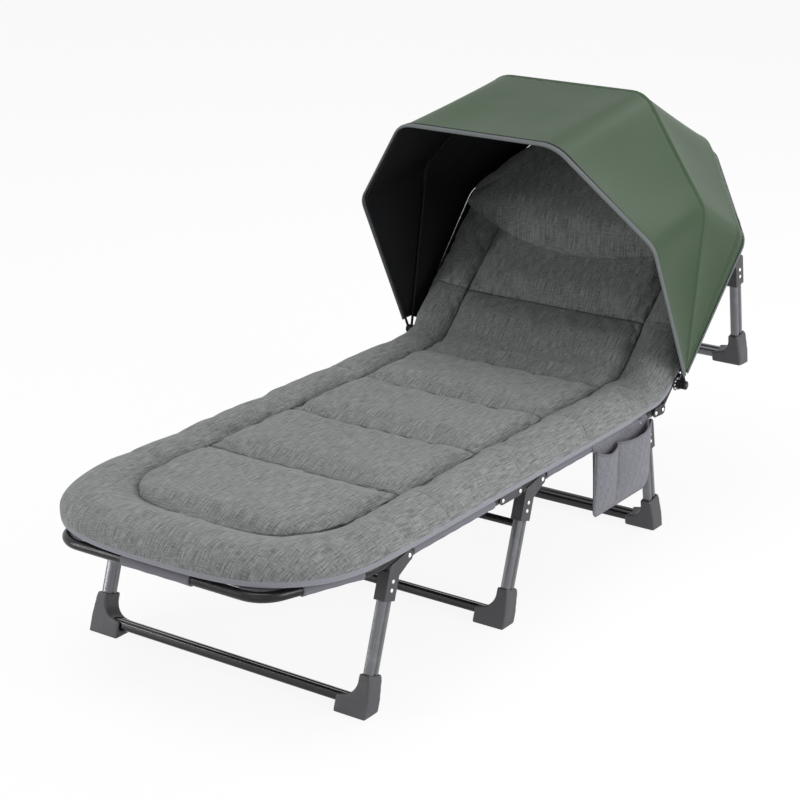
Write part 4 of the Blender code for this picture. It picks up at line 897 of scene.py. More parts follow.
def woven(name, dark, light, yarn, slub, relief, contrast=1.0, creased_and_shaded=False):
    """Cloth of two crossing sets of uneven yarn, of a pitch (yarn) and a length of shade (slub) in metres."""
    finish = Finish(name)
    place = finish.attribute("cloth_place")
    x, y, _ = finish.split(place)
    fine, coarse = 1.0 / yarn, 1.0 / slub
    lengthwise = finish.noise(finish.join(x * fine, y * coarse, 0.0), 1.0, 2.0, 0.6)
    crosswise = finish.noise(finish.join(x * (2.0 * coarse), y * fine, 5.0), 1.0, 2.0, 0.6)
    over = (x * (math.pi / yarn)).sine() * (y * (math.pi / yarn)).sine()
    share = finish.spread(over, -0.5, 0.5, 0.35, 0.85)
    shade = lengthwise * share + crosswise * (1.0 - share)
    broad = finish.noise(place, 7.0, 3.0)
    shade = (shade - 0.5) * contrast + (broad - 0.5) * 0.12 + 0.5
    cover = finish.mix(finish.spread(shade, 0.28, 0.72), dark, light)
    height = (shade + over.size() * 0.25) * relief
    # Along each seam the colour gets a painted shade: a narrow dark line in the crease and a wider darkening
    # beside it. The groove and the puckers there are bump.
    if creased_and_shaded:
        gap = Wire(finish, finish.tree.nodes.new("ShaderNodeAttribute").outputs["Fac"])
        gap.socket.node.attribute_name = "seam_gap"
        line = finish.spread(gap, 0.0004, CREASE_HALF, 1.0, 0.0)
        shaded = finish.spread(gap, 0.0, CREASE_SHADE, 1.0, 0.0)
        cover = finish.mix(line * 0.70 + shaded * shaded * 0.16, cover, CREASE_SHADE_COLOUR)
        pucker = finish.noise(place, 62.0, 2.0)
        height = height - line * 0.0022 + pucker * finish.spread(gap, 0.0, 0.030, 0.0022, 0.0)
    finish.set(Base_Color=cover, Roughness=0.9, Sheen_Weight=0.15, Sheen_Roughness=0.5,
               Specular_IOR_Level=0.25)
    return finish.bump(height, 1.0, 0.8)


melange = woven("melange_cover", (0.094, 0.102, 0.100), (0.262, 0.276, 0.271),
                0.0016, 0.036, 0.0006, contrast=2.2, creased_and_shaded=True)
underside = woven("underside_cloth", (0.200, 0.200, 0.228), (0.265, 0.265, 0.300),
                  0.0011, 0.010, 0.0002)
for part in (mattress_foot, mattress_seat, mattress_back):
    part.data.materials.append(melange.material)
    part.data.materials.append(underside.material)
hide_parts("foot_pad")
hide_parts("fold_pad")
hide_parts("seat_pad", "backrest_pad")
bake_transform(mattress_foot)
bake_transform(mattress_seat)
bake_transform(mattress_back)
print("cloths ready")

# %% [markdown]
# ## Canopy: coated cloth drawn over three bent rods
#
# The real canopy is one cut of coated cloth with a channel sewn for each rod. It turns a sharp edge along
# every rod, and between two rods it is drawn in a little, because a cloth pulled from both sides can't
# bow outward. Each panel is worked out here as rows of points between one rod's line and the next. The
# channel is a low rib with a stitched groove beside it, and the cloth puckers a little at the stitches.
# The outside is green and the inside has a black coat, so each panel has two materials.

# %% Work out the lines over the rods
HUB_ALONG, HUB_OVER = 0.060, 0.013
HUB_Y = HINGE_Y + HUB_ALONG * math.cos(BACK_TURN) - HUB_OVER * math.sin(BACK_TURN)
HUB_Z = RAIL_Z + HUB_ALONG * math.sin(BACK_TURN) + HUB_OVER * math.cos(BACK_TURN)
ROD_SIDE = (0.3435, 0.3505, 0.3575)
ROD_ANGLE = [math.radians(angle) for angle in (48.5, 80.6, 116.1)]
ROD_SCALE = (0.9706, 0.9785, 1.0)
ROD_TOP, ROD_SHOULDER, ROD_TOP_HALF = 0.610, 0.382, 0.185
ROD_BEND = 0.060
ROD_SURFACE = 0.0038
CLOTH_START = 0.030
CANOPY_CLOTH = 0.0012


def evenly(first, second, count):
    """Even points from the first to just before the second."""
    first, second = np.array(first), np.array(second)
    return [tuple(first + (second - first) * k / count) for k in range(count)]


def rod_corners(index, outward, start=CLOTH_START):
    """The corners of a line over one rod from hub to hub, as (x, distance from the hub axis)."""
    half = ROD_SIDE[index] + outward
    scale = ROD_SCALE[index]
    top_half = ROD_TOP_HALF * scale + 0.4 * outward
    side = ROD_SHOULDER * scale + 0.3 * outward
    top = ROD_TOP * scale + outward
    return [(half, start), (half, side), (top_half, top), (-top_half, top), (-half, side), (-half, start)]


def rod_line(index, outward):
    """The rounded line over one rod, where its cloth starts and ends."""
    bent = rounded(rod_corners(index, outward), ROD_BEND + outward, 6)
    fine = []
    for (first, second), count in zip(zip(bent, bent[1:]), line_counts(bent)):
        fine += evenly(first, second, count)
    return np.array(fine + [tuple(bent[-1])])


def line_counts(bent):
    """How many steps each stretch of a rod's line gets: many on the straights, one within a bend."""
    straights = iter((30, 24, 34, 24, 30))
    return [next(straights) if math.dist(a, b) > 0.05 else 1 for a, b in zip(bent, bent[1:])]


def running_length(path):
    """The length along an array of points, at each of them."""
    return np.concatenate([[0.0], np.cumsum(np.linalg.norm(np.diff(path, axis=0), axis=1))])


def at_angle(line, angle):
    """A rod's line turned up to its angle, in the cot's own metres."""
    x, reach = line[:, 0], line[:, 1]
    return np.stack([x, HUB_Y + reach * math.cos(angle), HUB_Z + reach * math.sin(angle)], axis=1)


print("points along a rod:", len(rod_line(0, ROD_SURFACE)))

# %% [markdown]
# The panel between two rods is a grid whose rows crowd towards both rods, where the rib, the groove and
# the puckers need them. The rear panel only runs from the rear rod down to its hem and is tucked in
# there.

# %% Build the panels
RIB_HEIGHT, RIB_HALF = 0.0011, 0.0050
GROOVE_DEPTH, GROOVE_AT, GROOVE_HALF = 0.0009, 0.0078, 0.0020
DRAWN_IN = 0.0075
PUCKER = 0.0007
ROW_SHARES = (0.0, 0.003, 0.007, 0.012, 0.018, 0.025, 0.035, 0.05, 0.075, 0.11, 0.16, 0.22, 0.29, 0.36, 0.43)


def waves(along, salt):
    """A slow, uneven ripple along a seam."""
    slow = np.sin(along * 290 + 2.1 * np.sin(along * 37 + salt))
    return (slow + 0.7 * np.sin(along * 173 + salt * 2.3)) / 1.7


def seam_relief(distance):
    """Rib over a rod and the stitched groove beside it."""
    rib = RIB_HEIGHT * np.exp(-(distance / RIB_HALF) ** 2)
    return rib - GROOVE_DEPTH * np.exp(-((distance - GROOVE_AT) / GROOVE_HALF) ** 2)


def grid_normals(grid):
    """Outward unit normals of a grid of points."""
    along = np.gradient(grid, axis=1)
    over = np.gradient(grid, axis=0)
    normals = np.cross(along, over)
    normals /= np.maximum(np.linalg.norm(normals, axis=2, keepdims=True), 1e-12)
    outward = grid - np.array([0.0, HUB_Y, HUB_Z])
    return normals * np.sign((normals * outward).sum(axis=2).mean())


def shell_from(name, grid, thickness, inner_material=1):
    """A closed sheet whose outside is the grid and whose inside is one thickness below it."""
    normals = grid_normals(grid)
    rows, columns = grid.shape[:2]
    points = np.concatenate([grid.reshape(-1, 3), (grid - normals * thickness).reshape(-1, 3)])
    count = rows * columns
    faces, inside = [], []

    def quad(a, b, c, d, material):
        faces.append((a, b, c, d))
        inside.append(material)

    for i in range(rows - 1):
        for k in range(columns - 1):
            a = i * columns + k
            b, c, d = a + 1, a + columns + 1, a + columns
            quad(a, b, c, d, 0)
            quad(d + count, c + count, b + count, a + count, inner_material)
    for k in range(columns - 1):
        quad(k + 1, k, k + count, k + 1 + count, 0)
        a = (rows - 1) * columns + k
        quad(a, a + 1, a + 1 + count, a + count, 0)
    for i in range(rows - 1):
        a, b = i * columns, (i + 1) * columns
        quad(a, b, b + count, a + count, 0)
        a, b = a + columns - 1, b + columns - 1
        quad(b, a, a + count, b + count, 0)
    return new_mesh(name, points, faces, inside)


def new_mesh(name, points, faces, materials=None):
    """An object from points and faces, its faces turned outward."""
    mesh = bpy.data.meshes.new(name)
    mesh.from_pydata([tuple(map(float, p)) for p in points], [], faces)
    if materials is not None:
        mesh.polygons.foreach_set("material_index", materials)
    shape = bmesh.new()
    shape.from_mesh(mesh)
    bmesh.ops.recalc_face_normals(shape, faces=shape.faces)
    shape.to_mesh(mesh)
    shape.free()
    mesh.shade_smooth()
    made = bpy.data.objects.new(name, mesh)
    bpy.context.scene.collection.objects.link(made)
    return made


def canopy_panel(name, first, second, start_turn, end_turn):
    """Cloth from the first rod to the second; the turns move its edges off the rods' own angles."""
    near = at_angle(rod_line(first, ROD_SURFACE + CANOPY_CLOTH), ROD_ANGLE[first] + start_turn)
    far = at_angle(rod_line(second, ROD_SURFACE + CANOPY_CLOTH), ROD_ANGLE[second] + end_turn)
    shares = sorted(set(ROW_SHARES) | {0.5} | {round(1 - share, 4) for share in ROW_SHARES})
    grid = np.array([near * (1 - share) + far * share for share in shares])
    normals = grid_normals(grid)
    width = np.linalg.norm(far - near, axis=1)
    along = running_length(near)
    reach = np.linalg.norm(near[:, 1:] - np.array([HUB_Y, HUB_Z]), axis=1)
    turning = np.linalg.norm(np.diff(near, 2, axis=0), axis=1) > 1e-3
    sharp = along[1:-1][turning & (np.linalg.norm(np.diff(near, axis=0), axis=1)[1:] < 0.012)]
    if len(sharp):
        nearest = np.abs(along[:, None] - sharp[None, :]).min(axis=1)
    else:
        nearest = np.ones_like(along)
    drawn = DRAWN_IN * (1 - 0.75 * np.exp(-(nearest / 0.05) ** 2)) * np.clip(reach / 0.25, 0.0, 1.0)
    for i, share in enumerate(shares):
        move = -drawn * math.sin(math.pi * share) ** 0.8
        for distance, salt in ((share * width, 0.7), ((1 - share) * width, 3.9)):
            fading = np.exp(-(np.maximum(distance - 0.01, 0) / 0.02) ** 2)
            move = move + seam_relief(distance) * np.clip(reach / 0.06, 0.2, 1.0)
            move = move + PUCKER * waves(along, salt + first) * fading * (distance > 0.006)
        grid[i] += normals[i] * move[:, None]
    return shell_from(name, grid, CANOPY_CLOTH)


HEM_TURN = math.radians(43.4)
EDGE_LIP = math.radians(1.0)
SPLIT = math.radians(0.1)
canopy_front = canopy_panel("canopy_front_cloth", 1, 2, SPLIT, EDGE_LIP)
canopy_middle = canopy_panel("canopy_middle_cloth", 0, 1, SPLIT, -SPLIT)
HEM_TUCK, TUCK_TURN = 0.034, math.radians(43.1)
rear_line = rod_line(0, ROD_SURFACE + CANOPY_CLOTH)
rear_rows = [at_angle(rear_line, ROD_ANGLE[0] - SPLIT + (HEM_TURN - ROD_ANGLE[0] + SPLIT) * share)
             for share in (0.0, 0.2, 0.4, 0.6, 0.8, 1.0)]
rear_rows += [at_angle(rod_line(0, ROD_SURFACE + CANOPY_CLOTH - HEM_TUCK * share), TUCK_TURN)
              for share in (0.5, 1.0)]
canopy_rear = shell_from("canopy_rear_cloth", np.array(rear_rows), CANOPY_CLOTH)
print("canopy faces:", [len(piece.data.polygons) for piece in (canopy_front, canopy_middle, canopy_rear)])

# %% [markdown]
# ## Canopy: its finish and its bound edges
#
# The cloth has a thin coat that makes it faintly glossy, so it gets a low roughness and a fine weave
# relief. Along the front edge a grey binding is folded over the cloth and sewn down; it is swept along
# the edge line as a flattened tube, and a second one closes the rear hem.

# %% Finish the canopy and bind its edges
FADING = 0.12


def swept(name, path, sides, width, thickness, facing):
    """A closed tube along a path; width lies across it and thickness along the facing directions."""
    path, facing = np.array(path, float), np.array(facing, float)
    tangents = np.gradient(path, axis=0)
    tangents /= np.linalg.norm(tangents, axis=1, keepdims=True)
    up = facing - tangents * (facing * tangents).sum(axis=1, keepdims=True)
    up /= np.linalg.norm(up, axis=1, keepdims=True)
    half_width = np.broadcast_to(width, (len(path),))[:, None] / 2
    half_thick = np.broadcast_to(thickness, (len(path),))[:, None] / 2
    wide, thick = np.cross(tangents, up) * half_width, up * half_thick
    turns = np.linspace(0, 2 * math.pi, sides, endpoint=False)
    ring = [path + wide * math.cos(a) + thick * math.sin(a) for a in turns]
    points = np.stack(ring, axis=1).reshape(-1, 3)
    faces = []
    count = len(path)
    for i in range(count - 1):
        for k in range(sides):
            m = (k + 1) % sides
            faces.append((i * sides + k, i * sides + m, (i + 1) * sides + m, (i + 1) * sides + k))
    faces += [tuple(range(sides)), tuple(range((count - 1) * sides, count * sides))]
    return new_mesh(name, points, faces)


def coated_cloth(name, colour, roughness, relief=0.00012, gloss=0.25):
    """Tightly woven coated cloth."""
    finish = Finish(name)
    place = finish.place()
    x, y, z = finish.split(place)
    weave = (x * 2600.0).sine() * ((y + z) * 2600.0).sine()
    broad = finish.noise(place, 5.0, 3.0)
    dark, light = (tuple(part * (1 + change) for part in colour) for change in (-FADING, FADING))
    finish.set(Base_Color=finish.mix(broad, dark, light), Specular_IOR_Level=gloss,
               Roughness=finish.spread(broad, 0.3, 0.7, roughness - 0.04, roughness + 0.05))
    return finish.bump(weave, relief, 0.35)


green = coated_cloth("canopy_green", (0.0285, 0.0555, 0.0255), 0.50, gloss=0.27)
lining = coated_cloth("canopy_lining", (0.012, 0.012, 0.014), 0.6)
binding = coated_cloth("binding_grey", (0.115, 0.125, 0.129), 0.6, 0.0003)


def flat_size(piece):
    """The one-sided area of a thin shell."""
    return sum(p.area for p in piece.data.polygons) / 2


def declare_canopy(piece, nodes):
    piece.data.materials.append(green.material)
    piece.data.materials.append(lining.material)
    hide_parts(nodes)
    area = flat_size(piece)
    width, length = PANEL_CUT[nodes]
    print(piece.name, "area", round(area, 4), "of cut", round(width * length, 4))


PANEL_CUT = {"canopy_front_panel": (1.720, 0.385), "canopy_middle_panel": (1.690, 0.340),
             "canopy_rear_panel": (1.670, 0.084)}
declare_canopy(canopy_front, "canopy_front_panel")
declare_canopy(canopy_middle, "canopy_middle_panel")
declare_canopy(canopy_rear, "canopy_rear_panel")


def fold_span(first, second, reach=0.26):
    """Where a panel turns from one rod to the next: two points either side of its middle plane."""
    middle = (ROD_ANGLE[first] + ROD_ANGLE[second]) / 2
    half = reach * math.sin((ROD_ANGLE[second] - ROD_ANGLE[first]) / 2)
    way = Vector((0.0, -math.sin(middle), math.cos(middle))) * half
    hub = Vector((0.0, HUB_Y, HUB_Z))
    return hub - way, hub + way


start, end = fold_span(0, 1)
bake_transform(canopy_middle)
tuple(start)
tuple(end)
start, end = fold_span(1, 2)
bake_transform(canopy_front)
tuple(start)
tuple(end)
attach(canopy_rear, "backrest")


def edge_binding(name, index, angle, width, thickness, lift, body):
    """A folded binding round one edge of the canopy."""
    line = rod_line(index, ROD_SURFACE + lift)
    path = at_angle(line, angle)
    outward = np.gradient(line, axis=0)
    outward = np.stack([outward[:, 1], -outward[:, 0]], axis=1)
    outward *= np.sign((outward * line).sum(axis=1, keepdims=True))
    facing = np.stack([outward[:, 0], outward[:, 1] * math.cos(angle), outward[:, 1] * math.sin(angle)],
                      axis=1)
    band = swept(name, path, 12, width, thickness, facing)
    band.data.materials.append(binding.material)
    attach(band, body)
    return band


edge_binding("canopy_front_binding", 2, ROD_ANGLE[2] + EDGE_LIP, 0.0115, 0.0052, CANOPY_CLOTH / 2,
             "front_bow")
edge_binding("canopy_rear_binding", 0, HEM_TURN, 0.0070, 0.0026, CANOPY_CLOTH + 0.0016, "backrest")

# %% [markdown]
# ## Pillow: a second cushion, blown up over the head end
#
# The pillow is two cloths sewn round their edge and stuffed. Its free lower edge is cut on a bow and the
# other edges follow the mattress. It starts as a lens in the same flat coordinates as the mattress, its
# underside is pinned, and air pressure in the simulation rounds it and pulls the sewn edge into small
# puckers.

# %% Build the pillow
PILLOW_START, PILLOW_BOW, PILLOW_INSET = 0.272, 0.9, 0.012
PILLOW_BASE, PILLOW_EDGE, PILLOW_CREST = 0.0590, 0.0680, 0.1020
FLAT_OF_HINGE = 0.4002
PILLOW_COLUMNS, PILLOW_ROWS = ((62, 30))


def mattress_half(along):
    """Half the mattress's width at a place along its head end."""
    tail = [spot for spot in edge if spot.y > 0.5]
    return float(np.interp(along, [spot.y for spot in tail], [-spot.x for spot in tail]))


def head_reach(x):
    """How far the pillow runs towards the head at a distance x from its middle."""
    low, high = FLAT_OF_HINGE + PILLOW_START, HEAD_END - PILLOW_INSET
    if mattress_half(high) - PILLOW_INSET >= x:
        return high
    for _ in range(30):
        middle = (low + high) / 2
        low, high = (middle, high) if mattress_half(middle) - PILLOW_INSET > x else (low, middle)
    return low


def pillow_plan():
    """The pillow's two sheets as points (x, along, height) and faces; both crowd towards the edge."""
    half = PAD_HALF - PILLOW_INSET
    points, faces = [], []
    for i in range(PILLOW_ROWS + 1):
        row = math.sin(math.pi * (i / PILLOW_ROWS - 0.5)) * 0.5 + 0.5
        row = 0.55 * row + 0.45 * i / PILLOW_ROWS
        for layer in (1, 0):
            for k in range(PILLOW_COLUMNS + 1):
                column = 2 * k / PILLOW_COLUMNS - 1
                column = math.sin(column * math.pi / 2) * 0.55 + column * 0.45
                x = column * half * 0.995
                low = FLAT_OF_HINGE + PILLOW_START + PILLOW_BOW * x * x
                along = low + (max(head_reach(abs(x)), low + 0.01) - low) * row
                inner = max(0.0, (1 - abs(column) ** 6) * (1 - abs(2 * row - 1) ** 6)) ** 0.5
                low_side = PILLOW_EDGE - (PILLOW_EDGE - PILLOW_BASE) * inner
                high_side = PILLOW_EDGE + (PILLOW_CREST - PILLOW_EDGE) * inner
                points.append((x, along, high_side if layer else low_side))
    width = PILLOW_COLUMNS + 1
    for i in range(PILLOW_ROWS):
        for k in range(PILLOW_COLUMNS):
            for layer in (0, 1):
                a = (2 * i + layer) * width + k
                b = a + 2 * width
                faces.append((a, a + 1, b + 1, b))
    return points, faces


pillow_points, pillow_faces = pillow_plan()
pillow = new_mesh("pillow_cushion", pillow_points, pillow_faces)
pillow_edge = np.array([point[:2] for index, point in enumerate(pillow_points)
                        if index // (PILLOW_COLUMNS + 1) in (0, 1, 2 * PILLOW_ROWS, 2 * PILLOW_ROWS + 1)
                        or index % (PILLOW_COLUMNS + 1) in (0, PILLOW_COLUMNS)])
shape = bmesh.new()
shape.from_mesh(pillow.data)
bmesh.ops.remove_doubles(shape, verts=shape.verts, dist=1e-5)
bmesh.ops.dissolve_degenerate(shape, edges=shape.edges, dist=1e-6)
bmesh.ops.recalc_face_normals(shape, faces=shape.faces)
print("pillow open edges:", sum(1 for e in shape.edges if not e.is_manifold))
shape.to_mesh(pillow.data)
shape.free()
under = [v.index for v in pillow.data.vertices if v.co.z < PILLOW_EDGE - 0.0015]
pinned_group(pillow, under)
blow_up(pillow, 4.0, 0.02, 0.020)
subdivided(pillow)
flat = pillow.data.attributes.new("cloth_place", "FLOAT_VECTOR", "POINT")
flat.data.foreach_set("vector", [part for v in pillow.data.vertices for part in (v.co.x, v.co.y, 0.0)])
# The distance to the sewn edge drives the melange's painted crease shade along the pillow's seam.
keep_seam_gap(pillow, pillow_edge, 0.0)
lay_on_frame(pillow)
pillow.data.shade_smooth()
pillow.data.materials.append(melange.material)
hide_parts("pillow")
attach(pillow, "backrest")
print("pillow:", len(pillow.data.polygons), "faces")

# %% [markdown]
# ## Slings: cloth stretched between the tubes
#
# Under the mattress each section has a sheet of plain cloth. Where the legs leave room it ends in sleeves
# that the tubes run through, and each sleeve has a hem turned in at both ends. The sheets are rows of
# points as wide as the frame is at that place; the sleeves are tubes a little larger than the frame tube.

# %% Draw the frame's loops
TUBE_RADIUS = 0.010
RAIL_X = 0.312
LOOP_STEPS = 14
FOOT_FOLD, SEAT_FOLD = FOLD_Y


def both_sides(half):
    """The corners of a loop, from those on its left side."""
    return half + [(-x, y) for x, y in reversed(half)]


FOOT_LOOP = both_sides([(RAIL_X, FOOT_FOLD), (RAIL_X, -0.635), (0.232, -0.852)])
HEAD_LOOP = both_sides([(RAIL_X, 0.032), (RAIL_X, 0.475), (0.165, 0.612)])


def loop_path(corners, radii):
    """A tube's bent line: rounded at each corner by its own radius."""
    path = [Vector(corners[0])]
    for i, radius in enumerate(radii):
        path += rounded([path[-1], corners[i + 1], corners[i + 2]], radius, LOOP_STEPS)[1:-1]
    return np.array([tuple(p) for p in path] + [corners[-1]])


def stretch_of(path, low, high, spacing=0.004):
    """Evenly spaced points between two fractions of a path."""
    lengths = running_length(path)
    count = max(3, round((high - low) * lengths[-1] / spacing))
    wanted = np.linspace(low, high, count) * lengths[-1]
    return np.stack([np.interp(wanted, lengths, path[:, axis]) for axis in range(path.shape[1])], axis=1)


def level_place(flat, height=0.0):
    """Points of the level frame's plane in the cot's own metres."""
    flat = np.asarray(flat, float)
    return np.stack([flat[:, 0], flat[:, 1], np.full(len(flat), RAIL_Z) + height], axis=1)


def back_place(flat, height=0.0):
    """Points of the backrest's plane, measured from its hinge, in the cot's own metres."""
    flat = np.asarray(flat, float)
    height = np.zeros(len(flat)) + height
    y = HINGE_Y + flat[:, 1] * math.cos(BACK_TURN) - height * math.sin(BACK_TURN)
    z = RAIL_Z + flat[:, 1] * math.sin(BACK_TURN) + height * math.cos(BACK_TURN)
    return np.stack([flat[:, 0], y, z], axis=1)


FOOT_RADII, HEAD_RADII = (0.15, 0.06, 0.06, 0.15), (0.06, 0.06, 0.06, 0.06)
foot_loop = loop_path(FOOT_LOOP, FOOT_RADII)
head_loop = loop_path(HEAD_LOOP, HEAD_RADII)
print("loops:", len(foot_loop), len(head_loop))

# %% [markdown]
# A sheet is wide where it carries sleeves and narrow where a leg needs the room. At the foot end's bends
# its edge drops behind the tube, so that no raw edge shows under the mattress.

# %% Sew the slings
SLING_LEVEL = 0.0103
SLING_CLOTH = 0.0013
SLING_SAG = 0.0050
WIDE, NARROW = 0.308, 0.297
SLEEVE_RADIUS = 0.0119
EDGE_POWER = 60


def sling_sheet(name, rows, place, columns=40):
    """A sheet from rows of (place along, half width, drop of the edge), with a little sag."""
    grid = []
    order = np.linspace(0, len(rows) - 1, 6 * (len(rows) - 1) + 1)
    marks = np.interp(order, range(len(rows)), [row[0] for row in rows])
    halves = np.interp(order, range(len(rows)), [row[1] for row in rows])
    drops = np.interp(order, range(len(rows)), [(*row, 0.0)[2] for row in rows])
    first, last = min(marks[0], marks[-1]), max(marks[0], marks[-1])
    for along, half, drop in zip(marks, halves, drops):
        x = np.linspace(-half, half, columns + 1)
        inside = 1 - (x / half) ** 2
        ends = math.sin(math.pi * (along - first) / (last - first)) ** 0.4 if first < along < last else 0.0
        sag = -SLING_SAG * inside * ends + 0.0006 * np.sin(x * 70 + 25 * along) * inside * ends
        sag = sag - drop * np.abs(x / half) ** EDGE_POWER
        grid.append(place(np.stack([x, np.full_like(x, along)], axis=1), SLING_LEVEL + SLING_CLOTH + sag))
    return shell_from(name, np.array(grid), SLING_CLOTH, 0)


def sleeve(name, flat, place):
    """Cloth round a tube with a turned hem at each end and slack ripples along it."""
    path = place(flat)
    run = running_length(path)
    from_end = np.minimum(run, run[-1] - run)
    size = SLEEVE_RADIUS + 0.0006 * (from_end < 0.009) - 0.0005 * np.exp(-((from_end - 0.0095) / 0.0015) ** 2)
    size = size + 0.00025 * np.sin(run * 140 + len(name)) * (from_end > 0.012)
    facing = place(flat, 0.01) - path
    return swept(name, path, 26, 2 * size, 2 * size, facing)


sling_cloth = coated_cloth("sling_grey", (0.165, 0.165, 0.188), 0.85, 0.0004)


def sling(name, node, body, rows, place, sleeves):
    """One section's sheet and its sleeves."""
    sheet = sling_sheet(name, rows, place)
    pieces = [sleeve(f"{name}_sleeve_{i}", flat, place) for i, flat in enumerate(sleeves)]
    for piece in [sheet] + pieces:
        piece.data.materials.append(sling_cloth.material)
        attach(piece, body)
    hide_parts(node)
    area = flat_size(sheet)
    width, length = 2 * max(row[1] for row in rows), abs(rows[-1][0] - rows[0][0])
    length * 1.02
    print(name, "area", round(area, 4), "of cut", round(width * length, 4))


def beside(low, high, hand):
    """A straight run along a side rail."""
    return stretch_of(np.array([(hand * RAIL_X, low), (hand * RAIL_X, high)]), 0.0, 1.0)


def between_legs(start, sleeves, end):
    """Rows that are narrow where the legs are and wide where the sleeves are."""
    low, high = sleeves
    return [(start, NARROW), (low - STEP, NARROW), (low, WIDE), (high, WIDE), (high + STEP, NARROW),
            (end, NARROW)]


STEP = 0.0005
CORNER_DROP = 0.0085
LEG_SLEEVES = (-0.5265, -0.2565)
SLANT_START = -0.657
foot_rows = [(LEG_SLEEVES[1], WIDE), (LEG_SLEEVES[0], WIDE), (LEG_SLEEVES[0] - STEP, NARROW),
             (SLANT_START, NARROW)]
foot_rows += [(y + 0.001, x - 0.002, CORNER_DROP)
              for x, y in foot_loop if y < SLANT_START - 0.003 and x > 0.195]
foot_rows.append((-0.8512, 0.190))
foot_sleeves = [beside(*LEG_SLEEVES, hand) for hand in (1, -1)]
foot_sleeves += [stretch_of(foot_loop, *span) for span in ((0.251, 0.325), (0.454, 0.546), (0.675, 0.749))]
sling("sling_foot", "foot_sling", "foot_section", foot_rows, level_place, foot_sleeves)

SEAT_SLEEVES = (-0.065, 0.2875)
seat_sleeves = [beside(*SEAT_SLEEVES, hand) for hand in (1, -1)]
sling("sling_seat", "seat_sling", "seat", between_legs(-0.1535, SEAT_SLEEVES, 0.3635), level_place,
      seat_sleeves)

BACK_SLEEVES = (0.088, 0.377)
back_rows = between_legs(0.062, BACK_SLEEVES, 0.465)
back_rows += [(y - 0.001, x - 0.003) for x, y in sorted(map(tuple, head_loop), key=lambda spot: spot[1])
              if 0.505 < y < 0.6115 and x > 0.13]
back_sleeves = [beside(*BACK_SLEEVES, hand) for hand in (1, -1)] + [stretch_of(head_loop, 0.44, 0.56)]
sling("sling_back", "backrest_sling", "backrest", back_rows, back_place, back_sleeves)

# %% [markdown]
# ## Frame tubes bent from one end face
#
# The tubes of the reference frame have ten flat sides, and close up their highlights would show it. So
# they are modelled again as a bending machine makes them: one end face is pushed along each straight run
# and spun round each bend. Extrude and Spin keep the section true through the bends, which a curve's
# bevel would not.

# %% Write the bending helpers
TUBE_SIDES = 32


def settled(piece):
    """Makes a new shape's turn and size part of its mesh, and starts editing it."""
    bpy.ops.object.transform_apply(location=True, rotation=True, scale=True)
    bpy.ops.object.mode_set(mode="EDIT")
    return piece


def smoothed(piece, degrees):
    """Ends the editing, with smooth shading up to an angle."""
    bpy.ops.object.mode_set(mode="OBJECT")
    bpy.ops.object.shade_smooth_by_angle(angle=math.radians(degrees))
    return piece


def choose(piece, test):
    """Selects in edit mode the vertices that pass a test, and the edges and faces between them."""
    shape = bmesh.from_edit_mesh(piece.data)
    chosen = {vertex for vertex in shape.verts if test(vertex.co)}
    for item in (*shape.faces, *shape.edges, *shape.verts):
        item.select = False
    for vertex in chosen:
        vertex.select = True
    for item in (*shape.edges, *shape.faces):
        if chosen.issuperset(item.verts):
            item.select = True
    bmesh.update_edit_mesh(piece.data)


def round_face(name, radius, sides=TUBE_SIDES):
    """A disc in edit mode: the end of a round tube."""
    bpy.ops.object.select_all(action="DESELECT")
    bpy.ops.mesh.primitive_circle_add(vertices=sides, radius=radius, fill_type="NGON")
    bpy.context.object.name = bpy.context.object.data.name = name
    bpy.ops.object.mode_set(mode="EDIT")
    return bpy.context.object


def bend_tube(piece, corners, radii, steps=10):
    """Pushes the end face along each straight of a flat line, and spins it round each bend."""
    corners = [Vector((x, y, 0.0)) for x, y in corners]
    upright = Vector((0.0, 0.0, 1.0))
    first = (corners[1] - corners[0]).normalized()
    bpy.ops.object.mode_set(mode="OBJECT")
    facing = Matrix((upright.cross(first), upright, first)).transposed().to_4x4()
    piece.data.transform(Matrix.Translation(corners[0]) @ facing)
    bpy.ops.object.mode_set(mode="EDIT")
    bpy.ops.mesh.select_all(action="SELECT")
    spot = corners[0]
    for before, corner, after, radius in zip(corners, corners[1:], corners[2:], radii):
        ahead, leave = (corner - before).normalized(), (after - corner).normalized()
        angle = ahead.angle(leave)
        cut = radius * math.tan(angle / 2)
        sense = 1 if ahead.cross(leave).z > 0 else -1
        stop = corner - ahead * cut
        bpy.ops.mesh.extrude_region_move(TRANSFORM_OT_translate={"value": stop - spot})
        centre = stop + Vector((-ahead.y, ahead.x, 0.0)) * (sense * radius)
        bpy.ops.mesh.spin(steps=steps, angle=-sense * angle, center=centre, axis=upright)
        spot = corner + leave * cut
    bpy.ops.mesh.extrude_region_move(TRANSFORM_OT_translate={"value": corners[-1] - spot})
    bpy.ops.mesh.select_all(action="SELECT")
    bpy.ops.mesh.normals_make_consistent(inside=False)
    return smoothed(piece, 35)


def finish_piece(piece, matrix, finish, body, node=None):
    """Brings a modelled piece to its place, gives it its finish and body, and hides the frame node it stands
    for.
    """
    piece.data.transform(matrix)
    piece.data.update()
    piece.data.materials.append(finish.material)
    if node:
        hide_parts(node)
    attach(piece, body)
    return piece


def copy_of(master, name, matrix=Matrix()):
    """A copy with its own mesh, moved by a matrix."""
    piece = master.copy()
    piece.data = master.data.copy()
    piece.data.transform(matrix)
    piece.name = piece.data.name = name
    bpy.context.scene.collection.objects.link(piece)
    return piece


print("a tube's end face has", TUBE_SIDES, "corners")

# %% [markdown]
# A tube needs its corners, one radius for each bend and the plane it lies in. The second side rail is a
# copy of the first, moved across the cot.

